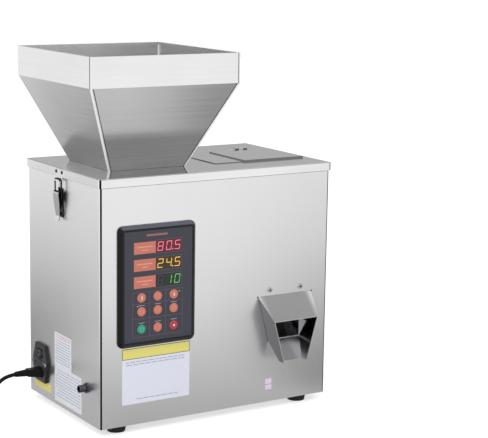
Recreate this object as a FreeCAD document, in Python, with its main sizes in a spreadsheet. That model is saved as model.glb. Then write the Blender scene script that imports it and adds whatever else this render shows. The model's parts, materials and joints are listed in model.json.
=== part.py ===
import FreeCAD, Part
import math
import os
import re
import Sketcher

# Granule weighing and filling machine: a stainless case with a square hopper on its
# lid, a vibrating trough and a weigh bucket inside, and an open chute on the front.
# The frame has its origin on the floor, under the middle of the machine's box, with
# +X to the right along the front and +Y towards the back. Lengths are millimetres.
# "left" sizes are counted from the case's left side, "front" ones from its front
# face and "up" ones from its bottom edge.

SIZES = {
    # case and feet
    "case_width": 400,
    "case_depth": 245,
    "case_height": 372,
    "case_sheet": 1.2,
    "case_bend": 3,
    "case_top_flange": 12,
    "foot_height": 12,
    "foot_radius": 15.5,
    "foot_tip_radius": 13.5,
    "foot_inset": 23,
    "foot_side_inset": 38,
    "foot_recess_radius": 6,
    "foot_recess_depth": 7,
    "plate_sheet": 1.5,
    "plate_lip": 12,
    "screw_radius": 2,
    "screw_head_radius": 3.9,
    "screw_head_height": 2.4,
    "screw_nut_height": 3.2,
    "hole_play": 0.2,
    "seat_gap": 0.3,
    "pivot_play": 0.05,
    # lid and hopper
    "lid_overhang": 2.3,
    "lid_flange": 12.8,
    "lid_bend": 3.5,
    "lid_fold": 1.4,
    "hopper_left": 112,
    "hopper_front": 129,
    "hopper_half": 124,
    "hopper_band": 45,
    "hopper_rise": 129,
    "hopper_base_half": 65.5,
    "hopper_wall": 1.3,
    "hopper_hem": 3,
    "spout_half": 33,
    "spout_length": 18,
    # access flap
    "flap_inset": 119,
    "flap_width": 110,
    "flap_front": 60,
    "flap_depth": 106,
    "flap_height": 1.6,
    "flap_sheet": 1,
    "access_inset": 12,
    "seat_reach": 53,
    "seat_sheet": 1,
    "hinge_offset": 49,
    "hinge_length": 23,
    "hinge_knuckle": 7,
    "hinge_pin_radius": 1.25,
    "knuckle_radius": 2.4,
    "leaf_depth": 12,
    # toggle latches
    "latch_front": 128,
    "latch_plate_half": 8,
    "latch_plate_foot": 74,
    "latch_plate_head": 30,
    "latch_sheet": 1,
    "latch_pivot_out": 5.2,
    "latch_pivot_drop": 38,
    "latch_pin_radius": 1.2,
    "latch_ear": 3.9,
    "latch_ear_round": 3.5,
    "lever_half": 9.3,
    "lever_foot_half": 6.5,
    "lever_cheek": 16,
    "lever_length": 34,
    "lever_tab": 7,
    "lever_flare": 2.6,
    "loop_wire_radius": 1.1,
    "loop_half": 10.8,
    "loop_bend": 2.6,
    "loop_pivot_drop": 7,
    "loop_pivot_in": 0.8,
    "keeper_half": 14,
    "keeper_hook_half": 8,
    "keeper_top_drop": 2,
    "keeper_hook_drop": 18.8,
    "keeper_trough": 4.1,
    "keeper_lip": 1.2,
    "rivet_radius": 1.6,
    "rivet_head_radius": 2.6,
    "rivet_head_height": 1,
    "keeper_rivet_half": 9.7,
    "keeper_rivet_drop": 5.8,
    "rivet_tail": 0.6,
    "low_rivet_drop": 69,
    "high_rivet_drop": 56,
    # control panel
    "panel_left": 27.6,
    "panel_up": 119.3,
    "panel_width": 129.6,
    "panel_height": 182.2,
    "panel_corner": 9,
    "panel_proud": 7,
    "panel_bevel": 5,
    "overlay_inset": 8.3,
    "overlay_depth": 0.5,
    "panel_web": 2,
    "skirt_inset": 6.5,
    "skirt_wall": 2,
    "skirt_depth": 25,
    "key_radius": 7.2,
    "key_proud": 1.1,
    "key_flange_radius": 8.3,
    "key_flange": 1,
    "key_gap": 0.35,
    "plunger_radius": 2,
    "key_first_left": 64.3,
    "key_pitch": 27.05,
    "key_top_up": 193.6,
    "key_middle_up": 172.8,
    "key_bottom_up": 146.5,
    "display_left": 87.6,
    "display_width": 42.8,
    "display_height": 18.4,
    "display_top_up": 258.8,
    "display_pitch": 25.5,
    "display_depth": 12,
    "board_inset": 6,
    "board_thickness": 1.6,
    "switch_half": 3,
    "switch_height": 4,
    "post_radius": 3.5,
    # outlet chute
    "chute_inset": 79,
    "chute_up": 170,
    "chute_root_half": 49.3,
    "chute_tip_half": 21.5,
    "chute_brow_up": 136.5,
    "chute_back_up": 98,
    "chute_tip_up": 69,
    "chute_reach": 33.5,
    "chute_tip_depth": 13,
    "chute_sheet": 1,
    "chute_flange": 18,
    "chute_screw_half": 28.2,
    "chute_screw_up": 179,
    # power inlet and foot switch socket on the left side
    "inlet_front": 198.5,
    "inlet_up": 54.7,
    "inlet_height": 60.6,
    "inlet_ear_half": 26,
    "inlet_face_half": 16.5,
    "inlet_flange": 5,
    "inlet_body_half": 13.5,
    "inlet_body_height": 50,
    "inlet_body_depth": 28,
    "inlet_screw_half": 20,
    "cavity_drop": 15,
    "cavity_half": 12.2,
    "cavity_height": 16.8,
    "cavity_chamfer": 4.5,
    "cavity_depth": 16,
    "contact_pitch": 7,
    "contact_length": 13,
    "rocker_rise": 15.5,
    "rocker_half": 9.5,
    "rocker_height": 13,
    "rocker_tilt_out": 2.6,
    "rocker_root": 5,
    "drawer_rise": 2.6,
    "drawer_half": 11,
    "drawer_height": 8,
    "drawer_depth": 24,
    "socket_front": 43,
    "socket_up": 53.6,
    "socket_radius": 5.6,
    "socket_nut": 8.4,
    "socket_nut_height": 3,
    "socket_reach": 14,
    "socket_depth": 12,
    # inner frame and feeder
    "frame_left": 60,
    "frame_clear": 21,
    "frame_front": 60,
    "frame_back": 198,
    "frame_drop": 262,
    "frame_sheet": 2,
    "frame_foot": 16,
    "upright_front": 76,
    "upright_drop": 116,
    "mount_radius": 9,
    "mount_height": 16,
    "mount_inset": 22,
    "base_left": 95,
    "base_clear": 27,
    "base_half": 28,
    "base_height": 60,
    "spring_half": 20,
    "spring_sheet": 1,
    "spring_tab": 18,
    "spring_lean": 15.5,
    "bolt_radius": 3,
    "bolt_length": 14,
    "bolt_head_radius": 5,
    "bolt_head_height": 4,
    "core_offset": 15,
    "core_height": 40,
    "core_yoke": 7,
    "core_leg": 8,
    "core_reach": 19,
    "coil_half": 25,
    "coil_play": 0.3,
    "armature_gap": 2,
    "armature_sheet": 6,
    "trough_left": 70,
    "trough_overhang": 22,
    "trough_half": 36,
    "trough_drop": 111.2,
    "trough_height": 29,
    "trough_sheet": 1.2,
    "rib_half": 20,
    "rib_height": 16.8,
    # weigh bucket, its door and its drive
    "bucket_width": 76,
    "bucket_front": 95,
    "bucket_depth": 68,
    "bucket_top_drop": 124,
    "bucket_sheet": 1.2,
    "bucket_back_drop": 146,
    "bucket_lip_drop": 190,
    "bucket_brow_drop": 150,
    "door_pivot_ahead": 5,
    "door_pivot_drop": 143,
    "door_pin_radius": 2,
    "door_knuckle": 3.8,
    "door_sheet": 1.2,
    "door_drop": 49,
    "door_play": 0.4,
    "ear_radius": 4.6,
    "tab_reach": 4,
    "tab_top": 17,
    "tab_bottom": 45,
    "tab_front": 8,
    "tab_strap_top": 29,
    "peg_radius": 2,
    "peg_drop": 24,
    "peg_gap": 0.3,
    "peg_reach": 15.5,
    "crank_hub_radius": 6,
    "crank_hub_length": 5,
    "crank_half": 4,
    "crank_sheet": 3,
    "crank_gap": 4,
    "shaft_radius": 3,
    "shaft_depth": 12,
    "motor_radius": 16,
    "motor_can_radius": 14.5,
    "motor_length": 42,
    "gearbox_length": 18,
    "cell_thickness": 12.7,
    "cell_front": 112,
    "cell_length": 75,
    "cell_drop": 172,
    "cell_bore_radius": 4.5,
    "cell_bore_half": 7,
    "cell_end": 20,
    "cell_spacer": 3,
    "hanger_height": 40,
    # slide under the bucket
    "slide_half": 42.5,
    "slide_front_half": 29.5,
    "slide_flange_half": 45,
    "slide_back_front": 118,
    "slide_clear": 10,
    "slide_front_up": 99,
    "slide_wall": 26,
    "slide_sheet": 1,
    # power supply
    "supply_left": 92,
    "supply_front": 70,
    "supply_length": 110,
    "supply_width": 78,
    "supply_height": 36,
    "terminal_width": 12,
    "terminal_height": 14,
    # mains cord with its connector and plug
    "cord_radius": 3,
    "nose_depth": 15.5,
    "collar_length": 22,
    "collar_half": 9.5,
    "collar_half_height": 6.2,
    "collar_lift": 1.6,
    "relief_length": 20,
    "relief_radius": 5.6,
    "relief_tip_radius": 4.4,
    "relief_groove": 0.8,
    "coil_left": -175,
    "coil_front": 140,
    "coil_radius": 36,
    "coil_layer": 5.2,
    "plug_half": 12.5,
    "plug_half_height": 13,
    "plug_back_half": 7.5,
    "plug_length": 32,
    "plug_rim": 4,
    "blade_apart": 12.7,
    "blade_thickness": 1.5,
    "blade_height": 6.3,
    "blade_length": 17,
    "blade_rise": 3,
    "earth_drop": 8.9,
    "earth_radius": 2.4,
    "earth_length": 20,
}

# Places that follow from the sizes: what hangs on the lid or under it is counted down
# from the case's top, and what serves the chute is counted from the case's right side
PLACES = {
    "latch_plate_bottom": "(case_height - latch_plate_foot)",
    "latch_plate_top": "(case_height - latch_plate_head)",
    "latch_pivot_up": "(case_height - latch_pivot_drop)",
    "keeper_top": "(case_height - keeper_top_drop)",
    "keeper_hook_up": "(case_height - keeper_hook_drop)",
    "keeper_rivet_up": "(case_height - keeper_rivet_drop)",
    "plate_rivet_low": "(case_height - low_rivet_drop)",
    "plate_rivet_high": "(case_height - high_rivet_drop)",
    "flap_left": "(case_width - flap_inset)",
    "seat_left": "(flap_left - seat_reach)",
    "hinge_left": "(flap_left + hinge_offset)",
    "chute_centre": "(case_width - chute_inset)",
    "bucket_left": "(chute_centre - bucket_width / 2)",
    "bucket_top": "(case_height - bucket_top_drop)",
    "bucket_back_up": "(case_height - bucket_back_drop)",
    "bucket_lip_up": "(case_height - bucket_lip_drop)",
    "bucket_brow_up": "(case_height - bucket_brow_drop)",
    "door_pivot_front": "(bucket_front - door_pivot_ahead)",
    "door_pivot_up": "(case_height - door_pivot_drop)",
    "frame_right": "(bucket_left - frame_clear)",
    "frame_up": "(case_height - frame_drop)",
    "upright_top": "(case_height - upright_drop)",
    "crank_left": "(frame_right + crank_gap)",
    "cell_up": "(case_height - cell_drop)",
    "base_length": "(frame_right - base_left - base_clear)",
    "core_left": "(base_length / 2 - core_offset)",
    "trough_up": "(case_height - trough_drop)",
    "trough_right": "(bucket_left + trough_overhang)",
    "slide_back_up": "(bucket_lip_up - slide_clear)",
}

doc = FreeCAD.newDocument("filling_machine")
V = FreeCAD.Vector
UP = FreeCAD.Rotation()
ROUGH_RADIUS = 50
TO_BACK = FreeCAD.Rotation(V(0, 0, 1), V(0, 1, 0))
TO_RIGHT = FreeCAD.Rotation(V(0, 0, 1), V(1, 0, 0))
TO_LEFT = FreeCAD.Rotation(V(0, 0, 1), V(-1, 0, 0))
ABOUT = FreeCAD.Rotation(V(0, 0, 1), 180)

sheet = doc.addObject("Spreadsheet::Sheet", "Sizes")
for row, (name, value) in enumerate(SIZES.items(), start=1):
    sheet.set("A%d" % row, name.replace("_", " "))
    sheet.set("B%d" % row, str(value))
    sheet.setAlias("B%d" % row, name)
doc.recompute()

PARTS = []


def cells(text):
    """The text as an expression that reads each named size from the sheet."""
    def read(match):
        name = match.group()
        if name in PLACES:
            return cells(PLACES[name])
        return "Sizes." + name if name in SIZES else name
    return re.sub(r"[a-z][a-z_]+", read, text)


def size(name):
    """A size from the sheet as a number."""
    return float(sheet.get(name))


def left(text):
    """X of a place given from the case's left side."""
    return "((socket_reach - case_width - latch_pivot_out - latch_ear) / 2 + %s)" % text


def front(text):
    """Y of a place given from the case's front face."""
    return "((chute_reach - hopper_front - hopper_half) / 2 + %s)" % text


def up(text):
    """Z of a place given from the case's bottom edge."""
    return "(foot_height + %s)" % text


def place(thing, x, y, z, turn=UP):
    """Puts an object at a place given by three expressions."""
    thing.Placement = FreeCAD.Placement(V(0, 0, 0), turn)
    for axis, text in zip("xyz", (x, y, z)):
        thing.setExpression("Placement.Base." + axis, cells(text))
    return thing


def keep(thing):
    """Marks an object as one of the machine's own pieces."""
    PARTS.append(thing)
    return thing


def new_body(label, x, y, z, turn=UP):
    body = doc.addObject("PartDesign::Body", label)
    body.Label = label
    return place(body, x, y, z, turn)


def new_sketch(body, plane, offset="0"):
    """An empty sketch on one of the body's own planes, moved along its normal."""
    drawing = body.newObject("Sketcher::SketchObject", body.Label + "_sketch")
    origin = [item for item in body.Origin.OriginFeatures if item.Role == plane]
    drawing.AttachmentSupport = (origin[0], "")
    drawing.MapMode = "FlatFace"
    if offset != "0":
        drawing.setExpression("AttachmentOffset.Base.z", cells(offset))
    return drawing


def pin_point(drawing, item, point, x, y):
    """Ties one point of a sketch to two expressions, counted from the origin."""
    for kind, text in (("DistanceX", x), ("DistanceY", y)):
        index = drawing.addConstraint(Sketcher.Constraint(kind, -1, 1, item, point, 1.0))
        drawing.setExpression("Constraints[%d]" % index, cells(text))


def add_outline(drawing, points):
    """A closed outline of straight lines through points given by expressions."""
    count = len(points)
    start = drawing.GeometryCount
    turns = [2 * math.pi * k / count for k in range(count)]
    rough = [V(ROUGH_RADIUS * math.cos(turn), ROUGH_RADIUS * math.sin(turn), 0) for turn in turns]
    for k in range(count):
        drawing.addGeometry(Part.LineSegment(rough[k], rough[(k + 1) % count]), False)
    for k in range(count):
        after = start + (k + 1) % count
        drawing.addConstraint(Sketcher.Constraint("Coincident", start + k, 2, after, 1))
    for k, (x, y) in enumerate(points):
        pin_point(drawing, start + k, 1, x, y)


def add_circle(drawing, x, y, radius):
    """A circle with its centre and radius given by expressions."""
    item = drawing.addGeometry(Part.Circle(V(0, 0, 0), V(0, 0, 1), 5), False)
    index = drawing.addConstraint(Sketcher.Constraint("Radius", item, 5))
    drawing.setExpression("Constraints[%d]" % index, cells(radius))
    pin_point(drawing, item, 3, x, y)


def rectangle(x0, y0, x1, y1):
    return [(x0, y0), (x1, y0), (x1, y1), (x0, y1)]


def draw(body, plane, offset="0", outlines=(), circles=()):
    drawing = new_sketch(body, plane, offset)
    for points in outlines:
        add_outline(drawing, points)
    for x, y, radius in circles:
        add_circle(drawing, x, y, radius)
    return drawing


def pad(body, drawing, length, back=False, middle=False):
    made = body.newObject("PartDesign::Pad", body.Label + "_pad")
    made.Profile = drawing
    made.setExpression("Length", cells(length))
    made.Reversed = back
    made.SideType = "Symmetric" if middle else "One side"
    return made


def pocket(body, drawing, length, back=False, middle=False):
    made = body.newObject("PartDesign::Pocket", body.Label + "_pocket")
    made.Profile = drawing
    made.setExpression("Length", cells(length))
    made.Reversed = back
    made.SideType = "Symmetric" if middle else "One side"
    return made


def edge_names(shape, wanted):
    """Names of the shape's straight edges that a test picks, by ends and middle."""
    names = []
    for index, edge in enumerate(shape.Edges, start=1):
        if len(edge.Vertexes) == 2 and edge.Curve.TypeId == "Part::GeomLine":
            ends = [vertex.Point for vertex in edge.Vertexes]
            if wanted(ends[1] - ends[0], edge.CenterOfMass):
                names.append("Edge%d" % index)
    return names


def along(axis):
    """A test that picks edges running along one axis, 0 for X, 1 for Y, 2 for Z."""
    return lambda run, middle: abs(run[axis]) > 0.999 * run.Length


def fillet(body, feature, radius, wanted):
    doc.recompute()
    made = body.newObject("PartDesign::Fillet", body.Label + "_fillet")
    made.Base = (feature, edge_names(feature.Shape, wanted))
    made.setExpression("Radius", cells(radius))
    return made


def turned(label, profile, x, y, z, turn=UP):
    """A body revolved about its own Z from points of (radius, height)."""
    body = new_body(label, x, y, z, turn)
    drawing = draw(body, "XZ_Plane", outlines=[profile])
    made = body.newObject("PartDesign::Revolution", label + "_turned")
    made.Profile = drawing
    made.ReferenceAxis = (drawing, ["V_Axis"])
    made.Angle = 360
    return body


def group(label, members):
    """One node made of several like solids."""
    made = doc.addObject("Part::Compound", label)
    made.Label = label
    made.Links = members
    return keep(made)


# Case: a folded wrap with an inward flange round its open top


def chute_half(height):
    """Half the chute's outside width at a height, as it narrows towards its tip."""
    return ("(chute_tip_half + (chute_root_half - chute_tip_half) * (%s - chute_tip_up)"
            " / (chute_up - chute_tip_up))" % height)


def chute_outline(low, high, grow):
    """The chute's outline on the front between two heights, grown by a gap."""
    wide, narrow = chute_half(high) + " + " + grow, chute_half(low) + " + " + grow
    return [("chute_centre - (%s)" % narrow, low + " - " + grow),
            ("chute_centre + (%s)" % narrow, low + " - " + grow),
            ("chute_centre + (%s)" % wide, high + " + " + grow),
            ("chute_centre - (%s)" % wide, high + " + " + grow)]


def latch_rivet_places():
    """Where each latch's base is riveted to the case wall, as (across, height)."""
    return [("latch_front", "plate_rivet_low"), ("latch_front", "plate_rivet_high")]


def case_shell():
    body = keep(new_body("case_shell", left("0"), front("0"), up("0")))
    wrap = draw(body, "XY_Plane", outlines=[rectangle("0", "0", "case_width", "case_depth")])
    fillet(body, pad(body, wrap, "case_height - case_sheet"), "case_bend", along(2))
    inside = draw(body, "XY_Plane", outlines=[
        rectangle("case_sheet", "case_sheet", "case_width - case_sheet", "case_depth - case_sheet")])
    hollow = pocket(body, inside, "case_height - 2 * case_sheet", back=True)
    half = size("case_sheet") / 2
    wide, deep = size("case_width") - half, size("case_depth") - half
    fillet(body, hollow, "case_bend - case_sheet",
           lambda run, middle: abs(run.z) > 0.999 * run.Length
           and half < middle.x < wide and half < middle.y < deep)
    mouth = draw(body, "XY_Plane", "case_height", outlines=[
        rectangle("case_top_flange", "case_top_flange",
                  "case_width - case_top_flange", "case_depth - case_top_flange")])
    pocket(body, mouth, "3 * case_sheet")
    inset = "(skirt_inset - hole_play)"
    face = draw(body, "XZ_Plane", outlines=[
        rectangle("panel_left + " + inset, "panel_up + " + inset,
                  "panel_left + panel_width - " + inset, "panel_up + panel_height - " + inset),
        chute_outline("chute_back_up", "chute_up", "seat_gap")],
        circles=[("chute_centre - chute_screw_half", "chute_screw_up", "screw_radius + hole_play"),
                 ("chute_centre + chute_screw_half", "chute_screw_up", "screw_radius + hole_play")])
    pocket(body, face, "2 * case_sheet")
    tall = "inlet_body_height / 2 + seat_gap"
    wide = "inlet_body_half + seat_gap"
    holes = [(y, z, "rivet_radius + pivot_play") for y, z in latch_rivet_places()]
    side = draw(body, "YZ_Plane", outlines=[
        rectangle("inlet_front - " + wide.replace("+", "-"), "inlet_up - " + tall.replace("+", "-"),
                  "inlet_front + " + wide, "inlet_up + " + tall)],
        circles=holes + [("socket_front", "socket_up", "socket_radius + pivot_play"),
                         ("inlet_front - inlet_screw_half", "inlet_up", "screw_radius + hole_play"),
                         ("inlet_front + inlet_screw_half", "inlet_up", "screw_radius + hole_play")])
    pocket(body, side, "2 * case_sheet", back=True)
    pocket(body, draw(body, "YZ_Plane", "case_width", circles=holes), "2 * case_sheet")


def foot_places():
    """The four feet, as places across and along the bottom plate."""
    return [(x, y) for y in ("foot_inset", "case_depth - foot_inset")
            for x in ("foot_side_inset", "case_width - foot_side_inset")]


def bottom_plate():
    inset = "case_sheet + hole_play"
    body = keep(new_body("bottom_plate", left("0"), front("0"), up("0")))
    tray = draw(body, "XY_Plane", outlines=[
        rectangle(inset, inset, "case_width - (%s)" % inset, "case_depth - (%s)" % inset)])
    fillet(body, pad(body, tray, "plate_lip"), "case_bend", along(2))
    wall = inset + " + plate_sheet"
    well = draw(body, "XY_Plane", "plate_lip", outlines=[
        rectangle(wall, wall, "case_width - (%s)" % wall, "case_depth - (%s)" % wall)])
    pocket(body, well, "plate_lip - plate_sheet")
    holes = draw(body, "XY_Plane", "plate_sheet", circles=[
        (x, y, "screw_radius + hole_play") for x, y in foot_places()])
    pocket(body, holes, "2 * plate_sheet")


def rubber_feet():
    bore = "screw_radius + hole_play"
    profile = [("foot_recess_radius", "0"), ("foot_tip_radius", "0"), ("foot_radius", "foot_height"),
               (bore, "foot_height"), (bore, "foot_recess_depth"),
               ("foot_recess_radius", "foot_recess_depth")]
    group("rubber_feet", [turned("foot_%d" % k, profile, left(x), front(y), "0")
                          for k, (x, y) in enumerate(foot_places(), start=1)])


def case_screws():
    """Pan-head screws of the feet, the chute and the power inlet."""
    seat, top = "foot_recess_depth", "foot_height + plate_sheet"
    with_nut = [("0", seat + " - screw_head_height"), ("screw_head_radius", seat + " - screw_head_height"),
                ("screw_head_radius", seat), ("screw_radius", seat), ("screw_radius", top),
                ("screw_head_radius", top), ("screw_head_radius", top + " + screw_nut_height"),
                ("0", top + " + screw_nut_height")]
    plain = [("0", "-screw_head_height"), ("screw_head_radius", "-screw_head_height"),
             ("screw_head_radius", "0"), ("screw_radius", "0"),
             ("screw_radius", "2 * screw_nut_height"), ("0", "2 * screw_nut_height")]
    screws = [turned("foot_screw_%d" % k, with_nut, left(x), front(y), "0")
              for k, (x, y) in enumerate(foot_places(), start=1)]
    for sign in ("-", "+"):
        screws.append(turned("chute_screw", plain, left("chute_centre %s chute_screw_half" % sign),
                             front("0"), up("chute_screw_up"), TO_BACK))
        screws.append(turned("inlet_screw", plain, left("-inlet_flange"),
                             front("inlet_front %s inlet_screw_half" % sign), up("inlet_up"), TO_RIGHT))
    group("case_screws", screws)


def access_opening(shift):
    """The opening under the flap, counted from a corner moved by a shift."""
    return rectangle("flap_left + access_inset + " + shift, "flap_front + access_inset + " + shift,
                     "flap_left + flap_width - access_inset + " + shift,
                     "flap_front + flap_depth - access_inset + " + shift)


def lid_tray():
    wide, deep = "case_width + 2 * lid_overhang", "case_depth + 2 * lid_overhang"
    body = keep(new_body("lid_tray", left("-lid_overhang"), front("-lid_overhang"),
                         up("case_height - lid_flange")))
    tray = pad(body, draw(body, "XY_Plane", outlines=[rectangle("0", "0", wide, deep)]), "lid_flange")
    corners = fillet(body, tray, "lid_bend", along(2))
    top = size("lid_flange")
    fillet(body, corners, "lid_fold", lambda run, middle: abs(middle.z - top) < 1e-6)
    inner_wide, inner_deep = wide + " - case_sheet", deep + " - case_sheet"
    inside = draw(body, "XY_Plane", outlines=[rectangle("case_sheet", "case_sheet", inner_wide, inner_deep)])
    hollow = pocket(body, inside, "lid_flange - case_sheet", back=True)
    near = size("case_sheet") / 2
    far = size("case_width") + 2 * size("lid_overhang") - near
    back = size("case_depth") + 2 * size("lid_overhang") - near
    fillet(body, hollow, "lid_bend - case_sheet",
           lambda run, middle: abs(run.z) > 0.999 * run.Length
           and near < middle.x < far and near < middle.y < back)
    half = "(hopper_base_half + seat_gap)"
    middle_x, middle_y = "hopper_left + lid_overhang", "hopper_front + lid_overhang"
    openings = draw(body, "XY_Plane", "lid_flange", outlines=[
        rectangle(middle_x + " - " + half, middle_y + " - " + half,
                  middle_x + " + " + half, middle_y + " + " + half),
        access_opening("lid_overhang")])
    pocket(body, openings, "2 * case_sheet")
    rivets = [("latch_front + lid_overhang %s keeper_rivet_half" % sign,
               "keeper_rivet_up - case_height + lid_flange", "rivet_radius + pivot_play")
              for sign in ("-", "+")]
    pocket(body, draw(body, "YZ_Plane", circles=rivets), "2 * case_sheet", back=True)
    pocket(body, draw(body, "YZ_Plane", wide, circles=rivets), "2 * case_sheet")


def square(half):
    return rectangle("-(%s)" % half, "-(%s)" % half, half, half)


def loft(body, kind, low, high):
    made = body.newObject("PartDesign::" + kind, body.Label + "_loft")
    made.Profile = low
    made.Sections = [high]
    made.Ruled = True
    return made


def hopper():
    """A square funnel whose walls run on through the lid to its spout."""
    drop = ("((hopper_base_half - spout_half) * hopper_rise"
            " / (hopper_half - hopper_base_half))")
    rim = "hopper_rise + hopper_band"
    body = keep(new_body("hopper", left("hopper_left"), front("hopper_front"), up("case_height")))
    low = draw(body, "XY_Plane", "-" + drop, outlines=[square("spout_half")])
    high = draw(body, "XY_Plane", "hopper_rise", outlines=[square("hopper_half")])
    loft(body, "AdditiveLoft", low, high)
    pad(body, draw(body, "XY_Plane", "hopper_rise", outlines=[square("hopper_half")]), "hopper_band")
    pad(body, draw(body, "XY_Plane", "-" + drop, outlines=[square("spout_half")]), "spout_length", back=True)
    low = draw(body, "XY_Plane", "-" + drop, outlines=[square("spout_half - hopper_wall")])
    high = draw(body, "XY_Plane", "hopper_rise", outlines=[square("hopper_half - hopper_wall")])
    loft(body, "SubtractiveLoft", low, high)
    pocket(body, draw(body, "XY_Plane", rim, outlines=[square("hopper_half - hopper_wall")]), "hopper_band")
    bore = draw(body, "XY_Plane", "-" + drop, outlines=[square("spout_half - hopper_wall")])
    pocket(body, bore, "2 * spout_length")
    hem = draw(body, "XY_Plane", rim, outlines=[square("hopper_half - hopper_wall"),
                                                square("hopper_half - hopper_hem")])
    pad(body, hem, "hopper_hem", back=True)


# Access flap over the weigh bucket: seat plate, flap, hinge leaf and pin
HINGE_BACK = "(flap_depth + knuckle_radius + seat_gap)"
HINGE_UP = "(seat_sheet + knuckle_radius)"


def flap_seat_plate():
    body = keep(new_body("flap_seat_plate", left("0"), front("0"), up("case_height")))
    plate = draw(body, "XY_Plane", outlines=[
        rectangle("seat_left", "flap_front", "flap_left + flap_width", "flap_front + flap_depth"),
        access_opening("0")])
    pad(body, plate, "seat_sheet")


def hinge_knuckle(body, start, length):
    """A knuckle with a tongue towards the plate that carries it."""
    barrel = draw(body, "YZ_Plane", start, circles=[(HINGE_BACK, HINGE_UP, "knuckle_radius")])
    pad(body, barrel, length)


def access_flap():
    body = keep(new_body("access_flap", left("flap_left"), front("flap_front"), up("case_height")))
    cover = draw(body, "XY_Plane", "seat_sheet", outlines=[rectangle("0", "0", "flap_width", "flap_depth")])
    pad(body, cover, "flap_height")
    inside = draw(body, "XY_Plane", "seat_sheet", outlines=[
        rectangle("flap_sheet", "flap_sheet", "flap_width - flap_sheet", "flap_depth - flap_sheet")])
    pocket(body, inside, "flap_height - flap_sheet", back=True)
    start = "hinge_left - flap_left"
    high = "seat_sheet + flap_height"
    for begin in (start, start + " + hinge_length - hinge_knuckle"):
        tongue = draw(body, "YZ_Plane", begin, outlines=[
            rectangle("flap_depth - flap_sheet", high + " - flap_sheet", HINGE_BACK, high)])
        pad(body, tongue, "hinge_knuckle")
        hinge_knuckle(body, begin, "hinge_knuckle")
    bore = draw(body, "YZ_Plane", start, circles=[(HINGE_BACK, HINGE_UP, "hinge_pin_radius + pivot_play")])
    pocket(body, bore, "hinge_length", back=True)


def flap_hinge_leaf():
    body = keep(new_body("flap_hinge_leaf", left("hinge_left"), front("flap_front"), up("case_height")))
    behind = HINGE_BACK + " + knuckle_radius + seat_gap"
    leaf = draw(body, "XY_Plane", outlines=[
        rectangle("0", behind, "hinge_length", behind + " + leaf_depth")])
    pad(body, leaf, "seat_sheet")
    start = "hinge_knuckle + seat_gap"
    tongue = draw(body, "YZ_Plane", start, outlines=[rectangle(HINGE_BACK, "0", behind, HINGE_UP)])
    pad(body, tongue, "hinge_length - 2 * (%s)" % start)
    hinge_knuckle(body, start, "hinge_length - 2 * (%s)" % start)
    bore = draw(body, "YZ_Plane", "0", circles=[(HINGE_BACK, HINGE_UP, "hinge_pin_radius + pivot_play")])
    pocket(body, bore, "hinge_length", back=True)


def flap_hinge_pin():
    keep(turned("flap_hinge_pin", rectangle("0", "0", "hinge_pin_radius", "hinge_length"), left("hinge_left"),
                front("flap_front + " + HINGE_BACK), up("case_height + " + HINGE_UP), TO_RIGHT))


# Toggle latches. Sketches use X out from the case wall and Z up from its bottom edge
SIDES = {"left": (left("0"), ABOUT), "right": (left("case_width"), UP)}


def latch_base(x, turn):
    body = new_body("latch_base", x, front("latch_front"), up("0"), turn)
    plate = draw(body, "YZ_Plane", outlines=[
        rectangle("-latch_plate_half", "latch_plate_bottom", "latch_plate_half", "latch_plate_top")])
    pad(body, plate, "latch_sheet")
    ear = "(latch_ear - latch_sheet - seat_gap)"
    ears = draw(body, "XZ_Plane", outlines=[
        rectangle("0", "latch_pivot_up - " + ear, "latch_pivot_out", "latch_pivot_up + " + ear)])
    pad(body, ears, "2 * latch_plate_half", middle=True)
    ends = draw(body, "XZ_Plane", circles=[("latch_pivot_out", "latch_pivot_up", ear)])
    pad(body, ends, "2 * latch_plate_half", middle=True)
    between = draw(body, "XZ_Plane", outlines=[
        rectangle("latch_sheet", "latch_plate_bottom", "latch_pivot_out + latch_ear", "latch_plate_top")])
    pocket(body, between, "2 * (latch_plate_half - latch_sheet)", middle=True)
    bore = draw(body, "XZ_Plane", circles=[
        ("latch_pivot_out", "latch_pivot_up", "latch_pin_radius + pivot_play")])
    pocket(body, bore, "3 * latch_plate_half", middle=True)
    holes = draw(body, "YZ_Plane", circles=[("0", z, "rivet_radius + pivot_play")
                                            for z in ("plate_rivet_low", "plate_rivet_high")])
    pocket(body, holes, "2 * latch_sheet", back=True)
    return body


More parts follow.
